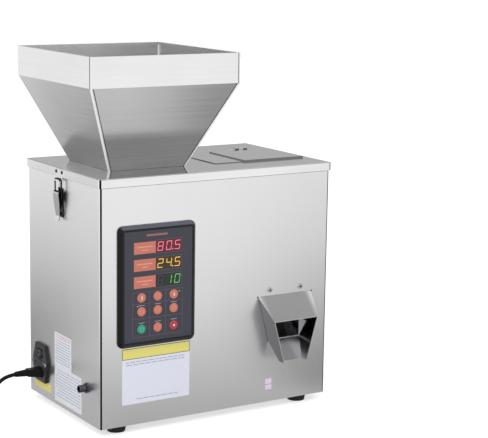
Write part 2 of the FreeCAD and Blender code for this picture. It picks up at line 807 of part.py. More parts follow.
def latch_lever(side, x, turn):
    body = keep(new_body("latch_%s_lever" % side, x, front("latch_front"), up("0"), turn))

    def at(out, rise):
        return ("latch_pivot_out + " + out, "latch_pivot_up + " + rise)

    profile = draw(body, "XZ_Plane", outlines=[[
        at("-latch_ear", "latch_ear"), at("latch_ear", "latch_ear"), at("latch_ear", "0"),
        at("latch_sheet / 2", "-lever_length"),
        at("lever_flare", "-lever_length - lever_tab"),
        at("lever_flare - latch_sheet", "-lever_length - lever_tab"),
        at("-latch_sheet / 2", "-lever_length"), at("-latch_sheet", "-lever_cheek"),
        at("-latch_ear", "-lever_cheek / 2")]])
    solid = pad(body, profile, "2 * lever_half", middle=True)
    high = size("case_height") - size("latch_pivot_drop") + size("latch_ear")
    fillet(body, solid, "latch_ear_round",
           lambda run, middle: abs(run.y) > 0.999 * run.Length and abs(middle.z - high) < 1e-6)
    inside = draw(body, "XZ_Plane", outlines=[[
        at("-2 * latch_ear", "2 * latch_ear"), at("latch_ear - latch_sheet", "2 * latch_ear"),
        at("latch_ear - latch_sheet", "0"), at("-latch_sheet / 2", "-lever_length"),
        at("-2 * latch_ear", "-lever_length")]])
    pocket(body, inside, "2 * (lever_half - latch_sheet)", middle=True)
    for sign in ("-", ""):
        wing = draw(body, "YZ_Plane", outlines=[[
            (sign + "lever_half", "latch_pivot_up - lever_cheek"),
            (sign + "lever_foot_half", "latch_pivot_up - lever_length"),
            (sign + "lever_foot_half", "latch_pivot_up - lever_length - 2 * lever_tab"),
            (sign + "2 * lever_half", "latch_pivot_up - lever_length - 2 * lever_tab"),
            (sign + "2 * lever_half", "latch_pivot_up - lever_cheek")]])
        pocket(body, wing, "4 * latch_pivot_out", back=True)
    bores = draw(body, "XZ_Plane", circles=[
        at("0", "0") + ("latch_pin_radius + pivot_play",),
        at("-loop_pivot_in", "-loop_pivot_drop") + ("loop_wire_radius + pivot_play",)])
    pocket(body, bores, "3 * lever_half", middle=True)


def rounded_path(points, bends):
    """A wire of straight runs through points, with a tangent arc at each inner one."""
    edges = []
    start = points[0]
    for before, corner, after, bend in zip(points, points[1:], points[2:], bends):
        back, ahead = (before - corner).normalize(), (after - corner).normalize()
        half = back.getAngle(ahead) / 2
        tangent = bend / math.tan(half)
        middle = corner + (back + ahead).normalize() * (bend / math.sin(half) - bend)
        edges.append(Part.LineSegment(start, corner + back * tangent).toShape())
        edges.append(Part.Arc(corner + back * tangent, middle, corner + ahead * tangent).toShape())
        start = corner + ahead * tangent
    edges.append(Part.LineSegment(start, points[-1]).toShape())
    return Part.Wire(edges)


def round_bar(path, radius):
    """A solid bar of round section along a wire."""
    first = path.Edges[0]
    section = Part.Wire(Part.makeCircle(radius, first.valueAt(first.FirstParameter),
                                        first.tangentAt(first.FirstParameter)))
    return path.makePipeShell([section], True, False)


def latch_loop(side, x, turn):
    """Bent wire: pinned in the lever's cheeks, with its bar in the keeper's trough."""
    top, wire = size("case_height"), size("loop_wire_radius")
    low = V(size("latch_pivot_out") - size("loop_pivot_in"), 0,
            top - size("latch_pivot_drop") - size("loop_pivot_drop"))
    high = V(size("lid_overhang") + size("latch_sheet") + size("seat_gap") + wire, 0,
             top - size("keeper_hook_drop") + size("latch_sheet") + size("seat_gap") + wire)
    out, end = V(0, size("loop_half"), 0), V(0, size("lever_half") - size("latch_sheet") * 0.9, 0)
    path = rounded_path([low - end, low - out, high - out, high + out, low + out, low + end],
                        [wire * 1.05, size("loop_bend"), size("loop_bend"), wire * 1.05])
    loop = doc.addObject("Part::Feature", "latch_%s_loop" % side)
    loop.Label = "latch_%s_loop" % side
    loop.Shape = round_bar(path, wire)
    keep(place(loop, x, front("latch_front"), up("0"), turn))


def latch_keeper(x, turn):
    body = new_body("latch_keeper", x, front("latch_front"), up("0"), turn)
    inner, outer = "lid_overhang", "lid_overhang + latch_sheet"
    floor = "keeper_hook_up + latch_sheet"
    lip = outer + " + keeper_trough"
    hook = draw(body, "XZ_Plane", outlines=[[
        (inner, "keeper_hook_up"), (lip + " + latch_sheet", "keeper_hook_up"),
        (lip + " + latch_sheet", floor + " + keeper_lip"), (lip, floor + " + keeper_lip"),
        (lip, floor), (outer, floor), (outer, "keeper_top"), (inner, "keeper_top")]])
    pad(body, hook, "2 * keeper_hook_half", middle=True)
    plate = draw(body, "YZ_Plane", inner, outlines=[
        rectangle("-keeper_half", "case_height - lid_flange", "keeper_half", "keeper_top")])
    pad(body, plate, "latch_sheet")
    holes = draw(body, "YZ_Plane", inner, circles=[
        (sign + "keeper_rivet_half", "keeper_rivet_up", "rivet_radius + pivot_play") for sign in ("-", "")])
    pocket(body, holes, "2 * latch_sheet", back=True)
    return body


def latch_rivets():
    """Rivets of both latches and the pins that their levers turn on."""
    grip = "latch_sheet + case_sheet + rivet_tail"
    rivet = [("0", "-(%s)" % grip), ("rivet_radius", "-(%s)" % grip), ("rivet_radius", "0"),
             ("rivet_head_radius", "0"), ("rivet_head_radius", "rivet_head_height / 2"),
             ("rivet_radius", "rivet_head_height"), ("0", "rivet_head_height")]
    pin_half = "lever_half + hole_play"
    pin = rectangle("0", "-(%s)" % pin_half, "latch_pin_radius", pin_half)
    pieces = []
    for start, turn, sign in (("", TO_LEFT, "-"), ("case_width", TO_RIGHT, "+")):
        for across in ("- keeper_rivet_half", "+ keeper_rivet_half"):
            outside = left("%s %s (lid_overhang + latch_sheet)" % (start, sign))
            pieces.append(turned("keeper_rivet", rivet, outside,
                                 front("latch_front " + across), up("keeper_rivet_up"), turn))
        for rise in ("plate_rivet_low", "plate_rivet_high"):
            pieces.append(turned("plate_rivet", rivet, left("%s %s latch_sheet" % (start, sign)),
                                 front("latch_front"), up(rise), turn))
        pieces.append(turned("latch_pin", pin, left("%s %s latch_pivot_out" % (start, sign)),
                             front("latch_front"), up("latch_pivot_up"), TO_BACK))
    group("latch_rivets", pieces)


# Control panel: bezel, overlay, keys, displays and the board behind them
KEY_NAMES = [["zero", "gain", "up"], ["set", "back", "down"], ["start", "mode", "stop"]]
KEY_ROWS = ["key_top_up", "key_middle_up", "key_bottom_up"]
BOARD_FRONT = "(display_depth - panel_proud + overlay_depth)"


def key_places():
    """Each key's name with its place on the front."""
    return [("key_" + name, "key_first_left + %d * key_pitch" % column, KEY_ROWS[row])
            for row, names in enumerate(KEY_NAMES) for column, name in enumerate(names)]


def key_circles(radius):
    return [(x + " - panel_left", z + " - panel_up", radius) for name, x, z in key_places()]


def display_outlines(grow):
    return [rectangle("display_left - panel_left - " + grow,
                      "display_top_up - panel_up - %d * display_pitch - %s" % (row, grow),
                      "display_left - panel_left + display_width + " + grow,
                      "display_top_up - panel_up - %d * display_pitch + display_height + %s" % (row, grow))
            for row in range(3)]


def inset_panel(inset):
    return rectangle(inset, inset, "panel_width - (%s)" % inset, "panel_height - (%s)" % inset)


def panel_bezel():
    body = keep(new_body("panel_bezel", left("panel_left"), front("0"), up("panel_up")))
    block = pad(body, draw(body, "XZ_Plane", outlines=[inset_panel("0")]), "panel_proud")
    rounded = fillet(body, block, "panel_corner", along(1))
    doc.recompute()
    face = -size("panel_proud")
    bevel = body.newObject("PartDesign::Chamfer", "panel_bezel_bevel")
    bevel.Base = (rounded, edge_names(rounded.Shape, lambda run, middle: abs(middle.y - face) < 1e-6))
    bevel.setExpression("Size", cells("panel_bevel"))
    recess = draw(body, "XZ_Plane", "panel_proud", outlines=[inset_panel("overlay_inset")])
    pocket(body, recess, "overlay_depth")
    wall = "skirt_inset + skirt_wall"
    pocket(body, draw(body, "XZ_Plane", outlines=[inset_panel(wall)]),
           "panel_proud - overlay_depth - panel_web", back=True)
    pad(body, draw(body, "XZ_Plane", outlines=[inset_panel("skirt_inset"), inset_panel(wall)]),
        "skirt_depth", back=True)
    openings = draw(body, "XZ_Plane", "panel_proud", outlines=display_outlines("seat_gap"),
                    circles=key_circles("key_radius + seat_gap"))
    pocket(body, openings, "panel_proud")
    near = wall + " + board_inset"
    posts = draw(body, "XZ_Plane", "-" + BOARD_FRONT, circles=[
        (x, z, "post_radius") for x in (near, "panel_width - (%s)" % near)
        for z in (near, "panel_height - (%s)" % near)])
    pad(body, posts, "display_depth - panel_web")


def panel_overlay():
    body = keep(new_body("panel_overlay", left("panel_left"), front("0"), up("panel_up")))
    film = draw(body, "XZ_Plane", "panel_proud - overlay_depth",
                outlines=[inset_panel("overlay_inset + pivot_play")] + display_outlines("0"),
                circles=key_circles("key_radius + seat_gap"))
    pad(body, film, "overlay_depth")


def panel_keys():
    """Key caps with a domed face, a retaining flange and a plunger to the switch."""
    flange = "overlay_depth + panel_web + seat_gap"
    tip = "overlay_depth + display_depth - switch_height - key_gap"
    profile = [("0", "-key_proud"), ("key_radius * 0.65", "-key_proud"),
               ("key_radius * 0.9", "-key_proud * 0.7"),
               ("key_radius", "0"), ("key_radius", flange), ("key_flange_radius", flange),
               ("key_flange_radius", flange + " + key_flange"), ("plunger_radius", flange + " + key_flange"),
               ("plunger_radius", tip), ("0", tip)]
    for name, x, z in key_places():
        keep(turned(name, profile, left(x), front("-panel_proud"), up(z), TO_BACK))


def display_modules():
    modules = []
    for row in range(3):
        block = doc.addObject("Part::Box", "display_%d" % (row + 1))
        for side, text in (("Length", "display_width"), ("Width", "display_depth"),
                           ("Height", "display_height")):
            block.setExpression(side, cells(text))
        modules.append(place(block, left("display_left"), front("overlay_depth - panel_proud"),
                             up("display_top_up - %d * display_pitch" % row)))
    group("display_modules", modules)


def controller_board():
    body = keep(new_body("controller_board", left("panel_left"), front("0"), up("panel_up")))
    edge = "skirt_inset + skirt_wall + seat_gap"
    board = draw(body, "XZ_Plane", "-(%s + board_thickness)" % BOARD_FRONT, outlines=[inset_panel(edge)])
    pad(body, board, "board_thickness")
    switches = [rectangle(x + " - switch_half", z + " - switch_half",
                          x + " + switch_half", z + " + switch_half")
                for x, z, radius in key_circles("switch_half")]
    pad(body, draw(body, "XZ_Plane", "-" + BOARD_FRONT, outlines=switches), "switch_height")
    low = "2 * (%s)" % edge
    parts = [rectangle(low, low, "panel_width / 3", "panel_height / 4"),
             rectangle("panel_width / 2", low, "panel_width - " + low, "panel_height / 6"),
             rectangle("panel_width / 4", "panel_height / 2", "panel_width / 2", "panel_height * 0.6")]
    back = draw(body, "XZ_Plane", "-(%s + board_thickness)" % BOARD_FRONT, outlines=parts)
    pad(body, back, "2 * switch_height", back=True)


# Outlet chute on the front, and the slide that feeds it from the weigh bucket
def chute_wedge(label, inset):
    """The chute's tapered prism, trimmed by its sloping brow and back, and inset by a
    sheet for the space inside, which runs on through the open tip."""
    body = new_body(label, left("0"), front("0"), up("0"))
    outline = chute_outline("(chute_tip_up - 2 * %s)" % inset, "chute_up", "-" + inset)
    pad(body, draw(body, "XZ_Plane", outlines=[outline]), "chute_reach + 2 * " + inset)
    pad(body, draw(body, "XZ_Plane", outlines=[outline]), "case_sheet + 2 * " + inset, back=True)
    far = "-2 * chute_reach"
    tip = "-(chute_reach - chute_tip_depth)"
    brow = [("0", "chute_up - " + inset), ("-chute_reach", "chute_brow_up - " + inset),
            (far, "chute_brow_up - " + inset), (far, "2 * chute_up"), ("0", "2 * chute_up")]
    behind = [("chute_reach", "chute_back_up + " + inset), ("0", "chute_back_up + " + inset),
              (tip + " - " + inset, "chute_tip_up"), (tip + " - " + inset, "0"), ("chute_reach", "0")]
    pocket(body, draw(body, "YZ_Plane", outlines=[brow]), "2 * case_width", middle=True)
    pocket(body, draw(body, "YZ_Plane", outlines=[behind]), "2 * case_width", middle=True)
    return body


def outlet_chute():
    """A folded hood: brow, two tapering cheeks and a steep back, open in front."""
    outside = chute_wedge("chute_outside", "0")
    flange = draw(outside, "XZ_Plane", "-(case_sheet + chute_sheet)", outlines=[
        rectangle("chute_centre - chute_root_half", "chute_up - 2 * chute_sheet",
                  "chute_centre + chute_root_half", "chute_up + chute_flange")])
    pad(outside, flange, "chute_sheet")
    holes = draw(outside, "XZ_Plane", circles=[
        ("chute_centre %s chute_screw_half" % sign, "chute_screw_up", "screw_radius + hole_play")
        for sign in ("-", "+")])
    pocket(outside, holes, "3 * case_sheet")
    inside = chute_wedge("chute_inside", "chute_sheet")
    made = doc.addObject("Part::Cut", "outlet_chute")
    made.Label = "outlet_chute"
    made.Base = outside
    made.Tool = inside
    keep(made)


def slide_at(y, at_front, at_back):
    """A height or half width of the slide at a distance behind the case's front."""
    return "(%s + (%s - %s) * (%s - case_sheet) / (slide_back_front - case_sheet))" % (
        at_front, at_back, at_front, y)


def slide_block(label, inset):
    """The slide's sloping, tapering block, or the space inside it when it has an inset."""
    body = new_body(label, left("chute_centre"), front("0"), up("0"))
    near, far = "(case_sheet - %s)" % inset, "(slide_back_front + %s)" % inset
    low, high = (slide_at(y, "slide_front_up", "slide_back_up") + " + " + inset for y in (near, far))
    side = draw(body, "YZ_Plane", outlines=[
        [(near, low), (far, high), (far, high + " + slide_wall"), (near, low + " + slide_wall")]])
    pad(body, side, "3 * slide_half", middle=True)
    narrow, wide = (slide_at(y, "slide_front_half", "slide_half") + " - " + inset for y in (near, far))
    trims = [[(sign + "(%s)" % narrow, near), (sign + "(%s)" % wide, far),
              (sign + "2 * slide_half", far), (sign + "2 * slide_half", near)] for sign in ("", "-")]
    pocket(body, draw(body, "XY_Plane", outlines=trims), "4 * slide_back_up", middle=True)
    return body


def inner_slide():
    """A folded channel that narrows as it falls from the weigh bucket to the chute."""
    outside = slide_block("slide_outside", "0")
    flanges = [rectangle(sign + "(slide_front_half - slide_sheet)", "slide_front_up",
                         sign + "slide_flange_half", "slide_front_up + slide_wall") for sign in ("-", "")]
    pad(outside, draw(outside, "XZ_Plane", "-(case_sheet + slide_sheet)", outlines=flanges), "slide_sheet")
    made = doc.addObject("Part::Cut", "inner_slide")
    made.Label = "inner_slide"
    made.Base = outside
    made.Tool = slide_block("slide_inside", "slide_sheet")
    keep(made)


# Power inlet with its rocker switch and fuse drawer, and the foot switch socket
def inlet_place(rise="0", out="0"):
    return left("-(%s)" % out), front("inlet_front"), up("inlet_up + " + rise)


def centred(half, tall, rise):
    return rectangle("-(%s)" % half, "%s - (%s) / 2" % (rise, tall), half, "%s + (%s) / 2" % (rise, tall))


def cavity_outline(grow, rise):
    """The socket's outline, a rectangle with its two upper corners cut off."""
    half, tall = "(cavity_half + %s)" % grow, "(cavity_height / 2 + %s)" % grow
    return [("-" + half, rise + " - " + tall), (half, rise + " - " + tall),
            (half, rise + " + " + tall + " - cavity_chamfer"),
            (half + " - cavity_chamfer", rise + " + " + tall),
            ("cavity_chamfer - " + half, rise + " + " + tall),
            ("-" + half, rise + " + " + tall + " - cavity_chamfer")]


def contact_outlines(grow, rise):
    """Three flat contacts, the middle one higher than the outer two."""
    return [rectangle("%s - 1 - %s" % (across, grow), "%s + %s - 2 - %s" % (rise, lift, grow),
                      "%s + 1 + %s" % (across, grow), "%s + %s + 2 + %s" % (rise, lift, grow))
            for across, lift in (("-contact_pitch", "-2"), ("0", "2"), ("contact_pitch", "-2"))]


def power_inlet():
    body = keep(new_body("power_inlet", *inlet_place()))
    top, ear = "inlet_height / 2", "(inlet_ear_half - inlet_face_half) / 2"
    outline = [("-inlet_face_half", "-(%s)" % top), ("inlet_face_half", "-(%s)" % top),
               ("inlet_ear_half", "-" + ear), ("inlet_ear_half", ear), ("inlet_face_half", top),
               ("-inlet_face_half", top), ("-inlet_ear_half", ear), ("-inlet_ear_half", "-" + ear)]
    flange = pad(body, draw(body, "YZ_Plane", outlines=[outline]), "inlet_flange", back=True)
    face = -size("inlet_flange")
    fillet(body, flange, "inlet_flange / 4", lambda run, middle: abs(middle.x - face) < 1e-6)
    pad(body, draw(body, "YZ_Plane", outlines=[centred("inlet_body_half", "inlet_body_height", "0")]),
        "inlet_body_depth")
    socket = draw(body, "YZ_Plane", "-inlet_flange", outlines=[cavity_outline("0", "-cavity_drop")])
    pocket(body, socket, "cavity_depth", back=True)
    wells = draw(body, "YZ_Plane", "-inlet_flange", outlines=[
        centred("rocker_half + seat_gap", "rocker_height + 2 * seat_gap", "rocker_rise")])
    pocket(body, wells, "inlet_flange + rocker_root + seat_gap", back=True)
    bay = draw(body, "YZ_Plane", "-inlet_flange", outlines=[
        centred("drawer_half + seat_gap", "drawer_height + 2 * seat_gap", "drawer_rise")])
    pocket(body, bay, "drawer_depth + seat_gap", back=True)
    blades = draw(body, "YZ_Plane", "cavity_depth - inlet_flange",
                  outlines=contact_outlines("0", "-cavity_drop"))
    pad(body, blades, "contact_length", back=True)
    holes = draw(body, "YZ_Plane", "-inlet_flange", circles=[
        (sign + "inlet_screw_half", "0", "screw_radius + hole_play") for sign in ("-", "")])
    pocket(body, holes, "2 * inlet_flange", back=True)


ROCKER_TILT = 8


def rocker_switch():
    """A rocker with a hollow face, at rest with its upper half pressed in."""
    turn = FreeCAD.Rotation(V(0, 1, 0), ROCKER_TILT)
    body = keep(new_body("rocker_switch", *inlet_place("rocker_rise", "inlet_flange / 2"), turn))
    half = "(rocker_height / 2 - 2 * seat_gap)"
    face = draw(body, "XZ_Plane", outlines=[[
        ("-(inlet_flange / 2 + rocker_tilt_out)", half), ("-rocker_tilt_out", "0"),
        ("-(inlet_flange / 2 + rocker_tilt_out)", "-" + half),
        ("rocker_root", "-%s * 0.6" % half), ("rocker_root", half + " * 0.6")]])
    pad(body, face, "2 * rocker_half", middle=True)


def fuse_drawer():
    body = keep(new_body("fuse_drawer", *inlet_place("drawer_rise", "inlet_flange")))
    pad(body, draw(body, "YZ_Plane", outlines=[centred("drawer_half", "drawer_height", "0")]), "drawer_depth")
    grip = draw(body, "YZ_Plane", outlines=[
        centred("drawer_half / 2", "drawer_height / 4", "drawer_height / 3")])
    pad(body, grip, "drawer_height / 8", back=True)
    fuse = draw(body, "YZ_Plane", "drawer_depth / 6", outlines=[
        centred("drawer_half - 2 * case_sheet", "drawer_height - 2 * case_sheet", "case_sheet")])
    pocket(body, fuse, "drawer_depth * 2 / 3", back=True)


def foot_switch_socket():
    """A threaded round connector with a hexagon nut against the case wall."""
    inner, pins = "socket_radius * 0.78", "socket_radius * 0.9"
    profile = [("0", "-socket_depth"), (pins, "-socket_depth"), ("socket_radius", "-socket_depth * 0.8"),
               ("socket_radius", "socket_reach - socket_radius / 10"),
               ("socket_radius * 0.9", "socket_reach"), (inner, "socket_reach"),
               (inner, "socket_reach / 2"), ("0", "socket_reach / 2")]
    spot = (left("0"), front("socket_front"), up("socket_up"))
    body = keep(turned("foot_switch_socket", profile, *spot, TO_LEFT))
    turns = [2 * math.pi * k / 6 for k in range(6)]
    corners = [("socket_nut * %.6f" % math.cos(turn), "socket_nut * %.6f" % math.sin(turn)) for turn in turns]
    pad(body, draw(body, "XY_Plane", outlines=[corners]), "socket_nut_height")
    grip = [(-0.4, 0.2), (0.4, 0.2), (0.0, -0.45)]
    contacts = draw(body, "XY_Plane", "socket_reach / 2", circles=[
        ("socket_radius * %.2f" % x, "socket_radius * %.2f" % y, "socket_radius / 8") for x, y in grip])
    pad(body, contacts, "socket_reach / 6")


# Inside: frame, vibrating feeder, weigh bucket with its door and drive, power supply
DECK = "plate_sheet"
PIVOT = ("door_pivot_front", "door_pivot_up")


def inner_frame():
    """A folded stand: shelf on two legs, with an upright for motor and load cell."""
    body = keep(new_body("inner_frame", left("0"), front("0"), up("0")))
    thick = "frame_sheet"
    foot = DECK + " + " + thick
    outline = [("frame_left - frame_foot", DECK), ("frame_left + " + thick, DECK),
               ("frame_left + " + thick, "frame_up - " + thick),
               ("frame_right - " + thick, "frame_up - " + thick),
               ("frame_right - " + thick, DECK), ("frame_right + frame_foot", DECK),
               ("frame_right + frame_foot", foot), ("frame_right", foot), ("frame_right", "frame_up"),
               ("frame_left", "frame_up"), ("frame_left", foot), ("frame_left - frame_foot", foot)]
    pad(body, draw(body, "XZ_Plane", "-frame_back", outlines=[outline]), "frame_back - frame_front")
    upright = draw(body, "YZ_Plane", "frame_right - " + thick, outlines=[
        rectangle("upright_front", "frame_up - " + thick, "frame_back", "upright_top")],
        circles=[PIVOT + ("crank_hub_radius + 2 * seat_gap",)])
    pad(body, upright, thick)
    spacer = draw(body, "YZ_Plane", "frame_right", outlines=[
        rectangle("cell_front + cell_length - cell_end", "cell_up",
                  "cell_front + cell_length", "cell_up + cell_thickness")])
    pad(body, spacer, "cell_spacer")


def feeder_mounts():
    ends = [(x, y) for x in ("base_left + mount_inset", "base_left + base_length - mount_inset")
            for y in ("hopper_front - base_half + mount_radius", "hopper_front + base_half - mount_radius")]
    mounts = []
    for k, (x, y) in enumerate(ends, start=1):
        profile = rectangle("0", "0", "mount_radius", "mount_height")
        mounts.append(turned("mount_%d" % k, profile, left(x), front(y), up("frame_up")))
    group("feeder_mounts", mounts)


BASE_UP = "(frame_up + mount_height)"
SPRING_LOW = "(%s + base_height - spring_tab)" % BASE_UP
RIB_UP = "(trough_up - rib_height)"


def feeder_base():
    body = keep(new_body("feeder_base", left("base_left"), front("hopper_front"), up(BASE_UP)))
    block = draw(body, "XY_Plane", outlines=[rectangle("0", "-base_half", "base_length", "base_half")])
    solid = pad(body, block, "base_height")
    fillet(body, solid, "bolt_radius", along(2))
    holes = draw(body, "YZ_Plane", circles=[("0", "base_height - spring_tab / 2", "bolt_radius")])
    pocket(body, holes, "mount_inset", back=True)
    holes = draw(body, "YZ_Plane", "base_length", circles=[
        ("0", "base_height - spring_tab / 2", "bolt_radius")])
    pocket(body, holes, "mount_inset")


def feeder_springs():
    """Two leaf springs that lean back, so that the trough throws its load forward."""
    springs = []
    for k, start in enumerate(("-spring_sheet", "base_length"), start=1):
        body = new_body("spring_%d" % k, left("base_left + " + start), front("hopper_front"), up("0"))
        low, bend = SPRING_LOW, "(%s + spring_tab)" % SPRING_LOW
        lean, wide = "-spring_lean", "spring_sheet"
        outline = [("0", low), (wide, low), (wide, bend), ("%s + %s" % (lean, wide), RIB_UP),
                   ("%s + %s" % (lean, wide), "trough_up - seat_gap"), (lean, "trough_up - seat_gap"),
                   (lean, RIB_UP), ("0", bend)]
        pad(body, draw(body, "XZ_Plane", outlines=[outline]), "2 * spring_half", middle=True)
        bores = draw(body, "YZ_Plane", "-2 * spring_lean", circles=[
            ("0", low + " + spring_tab / 2", "bolt_radius + hole_play"),
            ("0", RIB_UP + " + rib_height / 2", "bolt_radius + hole_play")])
        pocket(body, bores, "4 * spring_lean", back=True)
        springs.append(body)
    group("feeder_springs", springs)


def feeder_trough():
    """The vibrated trough with the rib beneath it that the springs hold."""
    body = keep(new_body("feeder_trough", left("0"), front("hopper_front"), up("0")))
    inner = "trough_half - trough_sheet"
    floor = "trough_up + trough_sheet"
    tray = draw(body, "YZ_Plane", "trough_left", outlines=[
        rectangle("-trough_half", "trough_up", "trough_half", "trough_up + trough_height")])
    pad(body, tray, "trough_right - trough_left")
    well = draw(body, "YZ_Plane", "trough_left + trough_sheet", outlines=[
        rectangle("-(%s)" % inner, floor, inner, "trough_up + 2 * trough_height")])
    pocket(body, well, "trough_right", back=True)
    rib = draw(body, "XZ_Plane", outlines=[
        rectangle("base_left - spring_lean + seat_gap", RIB_UP,
                  "base_left + base_length - spring_lean - seat_gap", "trough_up")])
    pad(body, rib, "2 * rib_half", middle=True)
    bore = [("0", RIB_UP + " + rib_height / 2", "bolt_radius")]
    near = draw(body, "YZ_Plane", "base_left - spring_lean", circles=bore)
    pocket(body, near, "bolt_length", back=True)
    far = draw(body, "YZ_Plane", "base_left + base_length - spring_lean", circles=bore)
    pocket(body, far, "bolt_length")


def magnet_core():
    """A laminated E core on the feeder base, facing the armature."""
    body = keep(new_body("magnet_core", left("base_left + core_left"), front("hopper_front"),
                         up(BASE_UP + " + base_height")))
    tip = "core_yoke + core_reach"
    gap = "((core_height - 3 * core_leg) / 2)"
    points = [("0", "0"), (tip, "0"), (tip, "core_leg"), ("core_yoke", "core_leg"),
              ("core_yoke", "core_leg + " + gap), (tip, "core_leg + " + gap),
              (tip, "2 * core_leg + " + gap), ("core_yoke", "2 * core_leg + " + gap),
              ("core_yoke", "core_height - core_leg"), (tip, "core_height - core_leg"),
              (tip, "core_height"), ("0", "core_height")]
    pad(body, draw(body, "XZ_Plane", outlines=[points]), "2 * rib_half", middle=True)


def magnet_coil():
    """The winding round the core's middle leg."""
    body = keep(new_body("magnet_coil", left("base_left + core_left + core_yoke + coil_play"),
                         front("hopper_front"), up(BASE_UP + " + base_height")))
    low, high = "core_leg + coil_play", "core_height - core_leg - coil_play"
    leg = "(core_height - core_leg) / 2 - coil_play"
    ring = draw(body, "YZ_Plane", outlines=[
        rectangle("-coil_half", low, "coil_half", high),
        rectangle("-(rib_half + coil_play)", leg, "rib_half + coil_play",
                  "(core_height + core_leg) / 2 + coil_play")])
    pad(body, ring, "core_reach - 3 * coil_play")


def feeder_armature():
    """The plate that the magnet pulls, hung from the trough's rib."""
    start = "base_left + core_left + core_yoke + core_reach + armature_gap"
    body = keep(new_body("feeder_armature", left(start), front("hopper_front"), up("0")))
    plate = draw(body, "YZ_Plane", outlines=[
        rectangle("-rib_half", "%s + base_height + coil_play" % BASE_UP, "rib_half", RIB_UP)])
    pad(body, plate, "armature_sheet")


def spring_bolts():
    """Bolts that hold the leaf springs to the base below and to the trough's rib above."""
    head = "bolt_length + bolt_head_height"
    profile = [("0", "0"), ("bolt_radius", "0"), ("bolt_radius", "bolt_length"),
               ("bolt_head_radius", "bolt_length"), ("bolt_head_radius", head), ("0", head)]
    low = up(BASE_UP + " + base_height - spring_tab / 2")
    high = up(RIB_UP + " + rib_height / 2")
    for label, rise, lean in (("base_bolts", low, "0"), ("trough_bolts", high, "spring_lean")):
        group(label, [
            turned(label + "_left", profile, left("base_left - spring_sheet + bolt_length - " + lean),
                   front("hopper_front"), rise, TO_LEFT),
            turned(label + "_right", profile,
                   left("base_left + base_length + spring_sheet - bolt_length - " + lean),
                   front("hopper_front"), rise, TO_RIGHT)])


def load_cell():
    body = keep(new_body("load_cell", left("frame_right + cell_spacer"), front("cell_front"), up("cell_up")))
    middle, half = "cell_length / 2", "cell_thickness / 2"
    bar = draw(body, "YZ_Plane", outlines=[rectangle("0", "0", "cell_length", "cell_thickness")], circles=[
        ("%s %s cell_bore_half" % (middle, sign), half, "cell_bore_radius") for sign in ("-", "+")])
    pad(body, bar, "cell_thickness")


def bucket_hanger():
    start = "frame_right + cell_spacer + cell_thickness"
    body = keep(new_body("bucket_hanger", left(start), front("cell_front"), up("cell_up")))
    plate = draw(body, "YZ_Plane", outlines=[rectangle("0", "0", "cell_end", "hanger_height")])
    pad(body, plate, "bucket_left - (%s)" % start)


def weigh_bucket():
    body = keep(new_body("weigh_bucket", left("bucket_left"), front("bucket_front"), up("0")))
    slope = "1.25 * bucket_sheet"
    outer = [("0", "bucket_lip_up"), ("bucket_depth", "bucket_back_up"), ("bucket_depth", "bucket_top"),
             ("0", "bucket_top")]
    inner = [("-bucket_sheet", "bucket_lip_up + " + slope),
             ("bucket_depth - bucket_sheet", "bucket_back_up + " + slope),
             ("bucket_depth - bucket_sheet", "2 * bucket_top"), ("bucket_sheet", "2 * bucket_top"),
             ("bucket_sheet", "bucket_brow_up"), ("-bucket_sheet", "bucket_brow_up")]
    pad(body, draw(body, "YZ_Plane", outlines=[outer]), "bucket_width")
    ahead = "door_pivot_front - bucket_front"
    for start in ("0", "bucket_width - bucket_sheet"):
        ear = draw(body, "YZ_Plane", start, circles=[(ahead, "door_pivot_up", "ear_radius")])
        pad(body, ear, "bucket_sheet")
        link = rectangle(ahead, "door_pivot_up - ear_radius", "ear_radius", "door_pivot_up + ear_radius")
        pad(body, draw(body, "YZ_Plane", start, outlines=[link]), "bucket_sheet")
    pocket(body, draw(body, "YZ_Plane", "bucket_sheet", outlines=[inner]), "bucket_width - 2 * bucket_sheet",
           back=True)
    bore = draw(body, "YZ_Plane", circles=[(ahead, "door_pivot_up", "door_pin_radius + pivot_play")])
    pocket(body, bore, "bucket_width", back=True)


def door_pin():
    start = "bucket_left - bucket_sheet"
    keep(turned("bucket_door_pin", rectangle("0", "0", "door_pin_radius", "bucket_width + 2 * bucket_sheet"),
                left(start), front("door_pivot_front"), up("door_pivot_up"), TO_RIGHT))


def bucket_door():
    """A door hung on the pin, with a tab on its left that the crank's peg pushes."""
    body = keep(new_body("bucket_door", left("bucket_left"), front("door_pivot_front"), up("door_pivot_up")))
    side = "bucket_sheet + door_play"
    near = "bucket_front - door_pivot_front - door_play - door_sheet"
    far = "bucket_front - door_pivot_front - door_play"
    barrel = draw(body, "YZ_Plane", side, circles=[("0", "0", "door_knuckle")])
    pad(body, barrel, "bucket_width - 2 * (%s)" % side)
    leaf = draw(body, "YZ_Plane", side, outlines=[rectangle(near, "-door_drop", far, "0")])
    pad(body, leaf, "bucket_width - 2 * (%s)" % side)
    strap = draw(body, "YZ_Plane", "-tab_reach", outlines=[
        rectangle(near, "-tab_bottom", far, "-tab_strap_top")])
    pad(body, strap, "tab_reach + " + side)
    edge = "-(peg_radius + peg_gap)"
    tab = [(far, "-tab_bottom"), (far, "-tab_strap_top"), (edge, "-tab_strap_top"), (edge, "-tab_top"),
           ("-tab_front", "-tab_top"), ("-tab_front", "-tab_bottom")]
    pad(body, draw(body, "YZ_Plane", "-tab_reach", outlines=[tab]), "door_sheet")
    bore = draw(body, "YZ_Plane", circles=[("0", "0", "door_pin_radius + pivot_play")])
    pocket(body, bore, "bucket_width", back=True)


